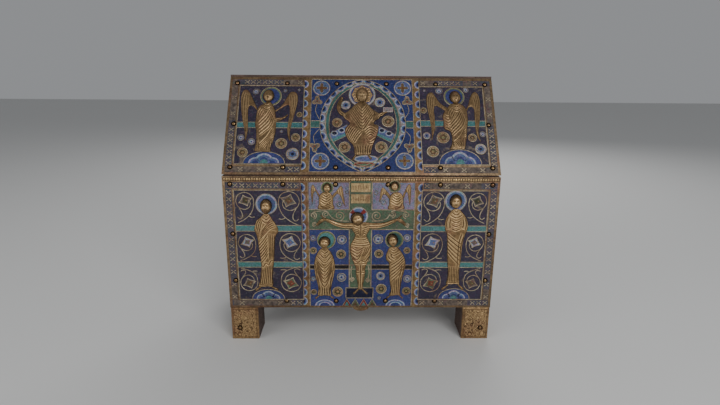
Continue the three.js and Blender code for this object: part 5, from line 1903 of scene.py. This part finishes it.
# Feet: copper engraved all over with a pattern like worm tracks
def wormed(node, turn, distance):
    low, high = corners_of(node)
    plate = plate_matrix(turn, distance, 0)
    inverse = plate.inverted()
    corners = [inverse @ Vector((corner[0] * MM, corner[1] * MM, 0)) for corner in (low, high)]
    left, right = sorted(corner.x for corner in corners)
    height = high[2]
    step = 0.4
    columns = round((right - left) / step)
    rows = round(height / step)
    bpy.ops.mesh.primitive_grid_add(x_subdivisions=columns, y_subdivisions=rows, size=2)
    piece = bpy.context.object
    count = len(piece.data.vertices)
    spots = np.empty(count * 3)
    piece.data.vertices.foreach_get("co", spots)
    x, y = spots.reshape(-1, 3).T[:2]
    x = left + (right - left) * (x + 1) / 2
    y = height * (y + 1) / 2
    warp = turn * 3 + distance
    tracks = np.sin(1.25 * x + 2.2 * np.sin(0.55 * y + warp) + 1.2 * np.sin(0.9 * x - 0.7 * y))
    tracks += np.sin(1.2 * y + 2.0 * np.sin(0.6 * x + 1.7 + warp) + 1.0 * np.sin(1.1 * y + 0.5 * x))
    furrow = np.clip(1 - np.abs(tracks) / 0.5, 0, 1)
    crest = bell(np.abs(tracks), 1.1, 0.4)
    to_edge = np.minimum(np.minimum(x - left, right - x), np.minimum(y, height - y))
    worked = np.clip((to_edge - 2.4) / 0.5, 0, 1)
    rim = bell(to_edge, 2.2, 0.45)
    furrow *= worked
    crest *= worked
    z = 0.05 + 0.2 * crest - 0.3 * furrow - 0.2 * rim - 0.3 * np.clip(1 - to_edge / 0.5, 0, 1)
    piece.data.vertices.foreach_set("co", np.column_stack([x, y, z]).ravel())
    # Furrows and the border groove dark with patina, and a painted highlight on the crests
    darkened(piece, np.clip(0.62 * furrow + 0.4 * rim - 0.4 * crest, PAINTED_HIGHLIGHT_LIMIT, 1))
    bpy.ops.object.mode_set(mode="EDIT")
    bpy.ops.mesh.select_all(action="DESELECT")
    bpy.ops.mesh.select_non_manifold()
    bpy.ops.mesh.extrude_region_move(TRANSFORM_OT_translate={"value": (0, 0, -SHEET_THICKNESS + 0.2)})
    bpy.ops.mesh.edge_face_add()
    bpy.ops.mesh.select_all(action="SELECT")
    bpy.ops.mesh.normals_make_consistent(inside=False)
    bpy.ops.object.mode_set(mode="OBJECT")
    outer, inner = sorted((left, right), key=abs, reverse=True)
    nail = rivets([(outer + 0.3 * (inner - outer), 0.36 * height)])
    return piece, nail, plate


def make_feet():
    foot_x = foot_high[0] + SKIN
    for depth_name, depth_turn in (("front", 0), ("back", math.pi)):
        for side_name, side_turn in (("left", -QUARTER), ("right", QUARTER)):
            corner = f"{depth_name}_{side_name}_foot"
            for part, turn, distance in (("face", depth_turn, HALF_DEPTH), ("side", side_turn, foot_x)):
                node = f"{corner}_{part}_plate"
                piece, nail, plate = wormed(node, turn, distance)
                fixed([piece], f"engraved_{node}", plate, foot_gilt, node, 60)
                fixed(nail, f"{corner}_{part}_nail", plate, nail_bronze)


def make_oak():
    boards = [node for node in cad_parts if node.endswith(("_board", "_block")) or node == "ridge_strip"]
    for node in boards:
        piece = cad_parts[node]
        for slot in piece.material_slots:
            slot.material = oak


# Camera, lights and floor
PICTURE_WIDTH = 720
FOCAL_PIXELS = 489.0
SENSOR = 36.0
CAMERA_PITCH = math.radians(15.31)
CAMERA_YAW = math.radians(0.96)
CAMERA_ROLL = math.radians(0.45)
CAMERA_DISTANCE = 496.0
CAMERA_TARGET = (-1.7, FRONT, 154.8)


def make_camera():
    forward = Vector((
        math.sin(CAMERA_YAW) * math.cos(CAMERA_PITCH),
        math.cos(CAMERA_YAW) * math.cos(CAMERA_PITCH),
        -math.sin(CAMERA_PITCH),
    ))
    right = forward.cross(Vector((0, 0, 1))).normalized()
    up = right.cross(forward)
    rolled = right * math.cos(CAMERA_ROLL) + up * math.sin(CAMERA_ROLL)
    up = rolled.cross(forward)
    spot = (Vector(CAMERA_TARGET) - forward * CAMERA_DISTANCE) * MM
    data = bpy.data.cameras.new("camera")
    data.sensor_fit = "HORIZONTAL"
    data.sensor_width = SENSOR
    data.lens = FOCAL_PIXELS / PICTURE_WIDTH * SENSOR
    data.clip_start = 0.01
    camera = bpy.data.objects.new("camera", data)
    camera.matrix_world = Matrix((
        (rolled.x, up.x, -forward.x, spot.x),
        (rolled.y, up.y, -forward.y, spot.y),
        (rolled.z, up.z, -forward.z, spot.z),
        (0, 0, 0, 1),
    ))
    bpy.context.collection.objects.link(camera)
    bpy.context.scene.camera = camera


AIM = Vector((0, 0, 0.13))


def soft_light(name, spot, power, size):
    data = bpy.data.lights.new(name, "AREA")
    data.energy = power
    data.size = size
    light = bpy.data.objects.new(name, data)
    light.location = spot
    aim = AIM - Vector(spot)
    light.rotation_euler = aim.to_track_quat("-Z", "Y").to_euler()
    bpy.context.collection.objects.link(light)


def make_studio():
    deselect()
    bpy.ops.mesh.primitive_plane_add(size=8)
    floor = bpy.context.object
    floor.name = "floor"
    material, _, shader = new_finish("pale_floor")
    shader.inputs["Base Color"].default_value = (0.62, 0.62, 0.61, 1)
    shader.inputs["Roughness"].default_value = 0.9
    floor.data.materials.append(material)
    soft_light("key", (0.5, -1.1, 0.75), power=9.8, size=0.7)
    soft_light("fill", (-0.9, -0.8, 0.5), power=4.2, size=0.9)
    soft_light("back", (0.3, 1.1, 0.9), power=7, size=0.8)
    world = bpy.data.worlds.new("studio")
    world.use_nodes = True
    glow = world.node_tree.nodes["Background"]
    glow.inputs["Color"].default_value = (0.8, 0.82, 0.85, 1)
    glow.inputs["Strength"].default_value = 0.35
    bpy.context.scene.world = world


make_camera()
deselect()
make_front_wall()
make_front_roof()
make_oak()
make_feet()
plain_side("back_wall", back_wall, WIDTH, WALL_HEIGHT, edged_nails(WIDTH, WALL_HEIGHT))
plain_side("back_roof", back_roof, WIDTH, ROOF_SLOPE, edged_nails(WIDTH, ROOF_SLOPE), SLANT)
end_width = 2 * (HALF_DEPTH - SKIN)
for side, plate in ends.items():
    nails = edged_nails(end_width, WALL_HEIGHT, 3)
    plain_side(f"{side}_end", plate, end_width, WALL_HEIGHT, nails)
for side, plate in gables.items():
    make_gable(side, plate)
make_studio()
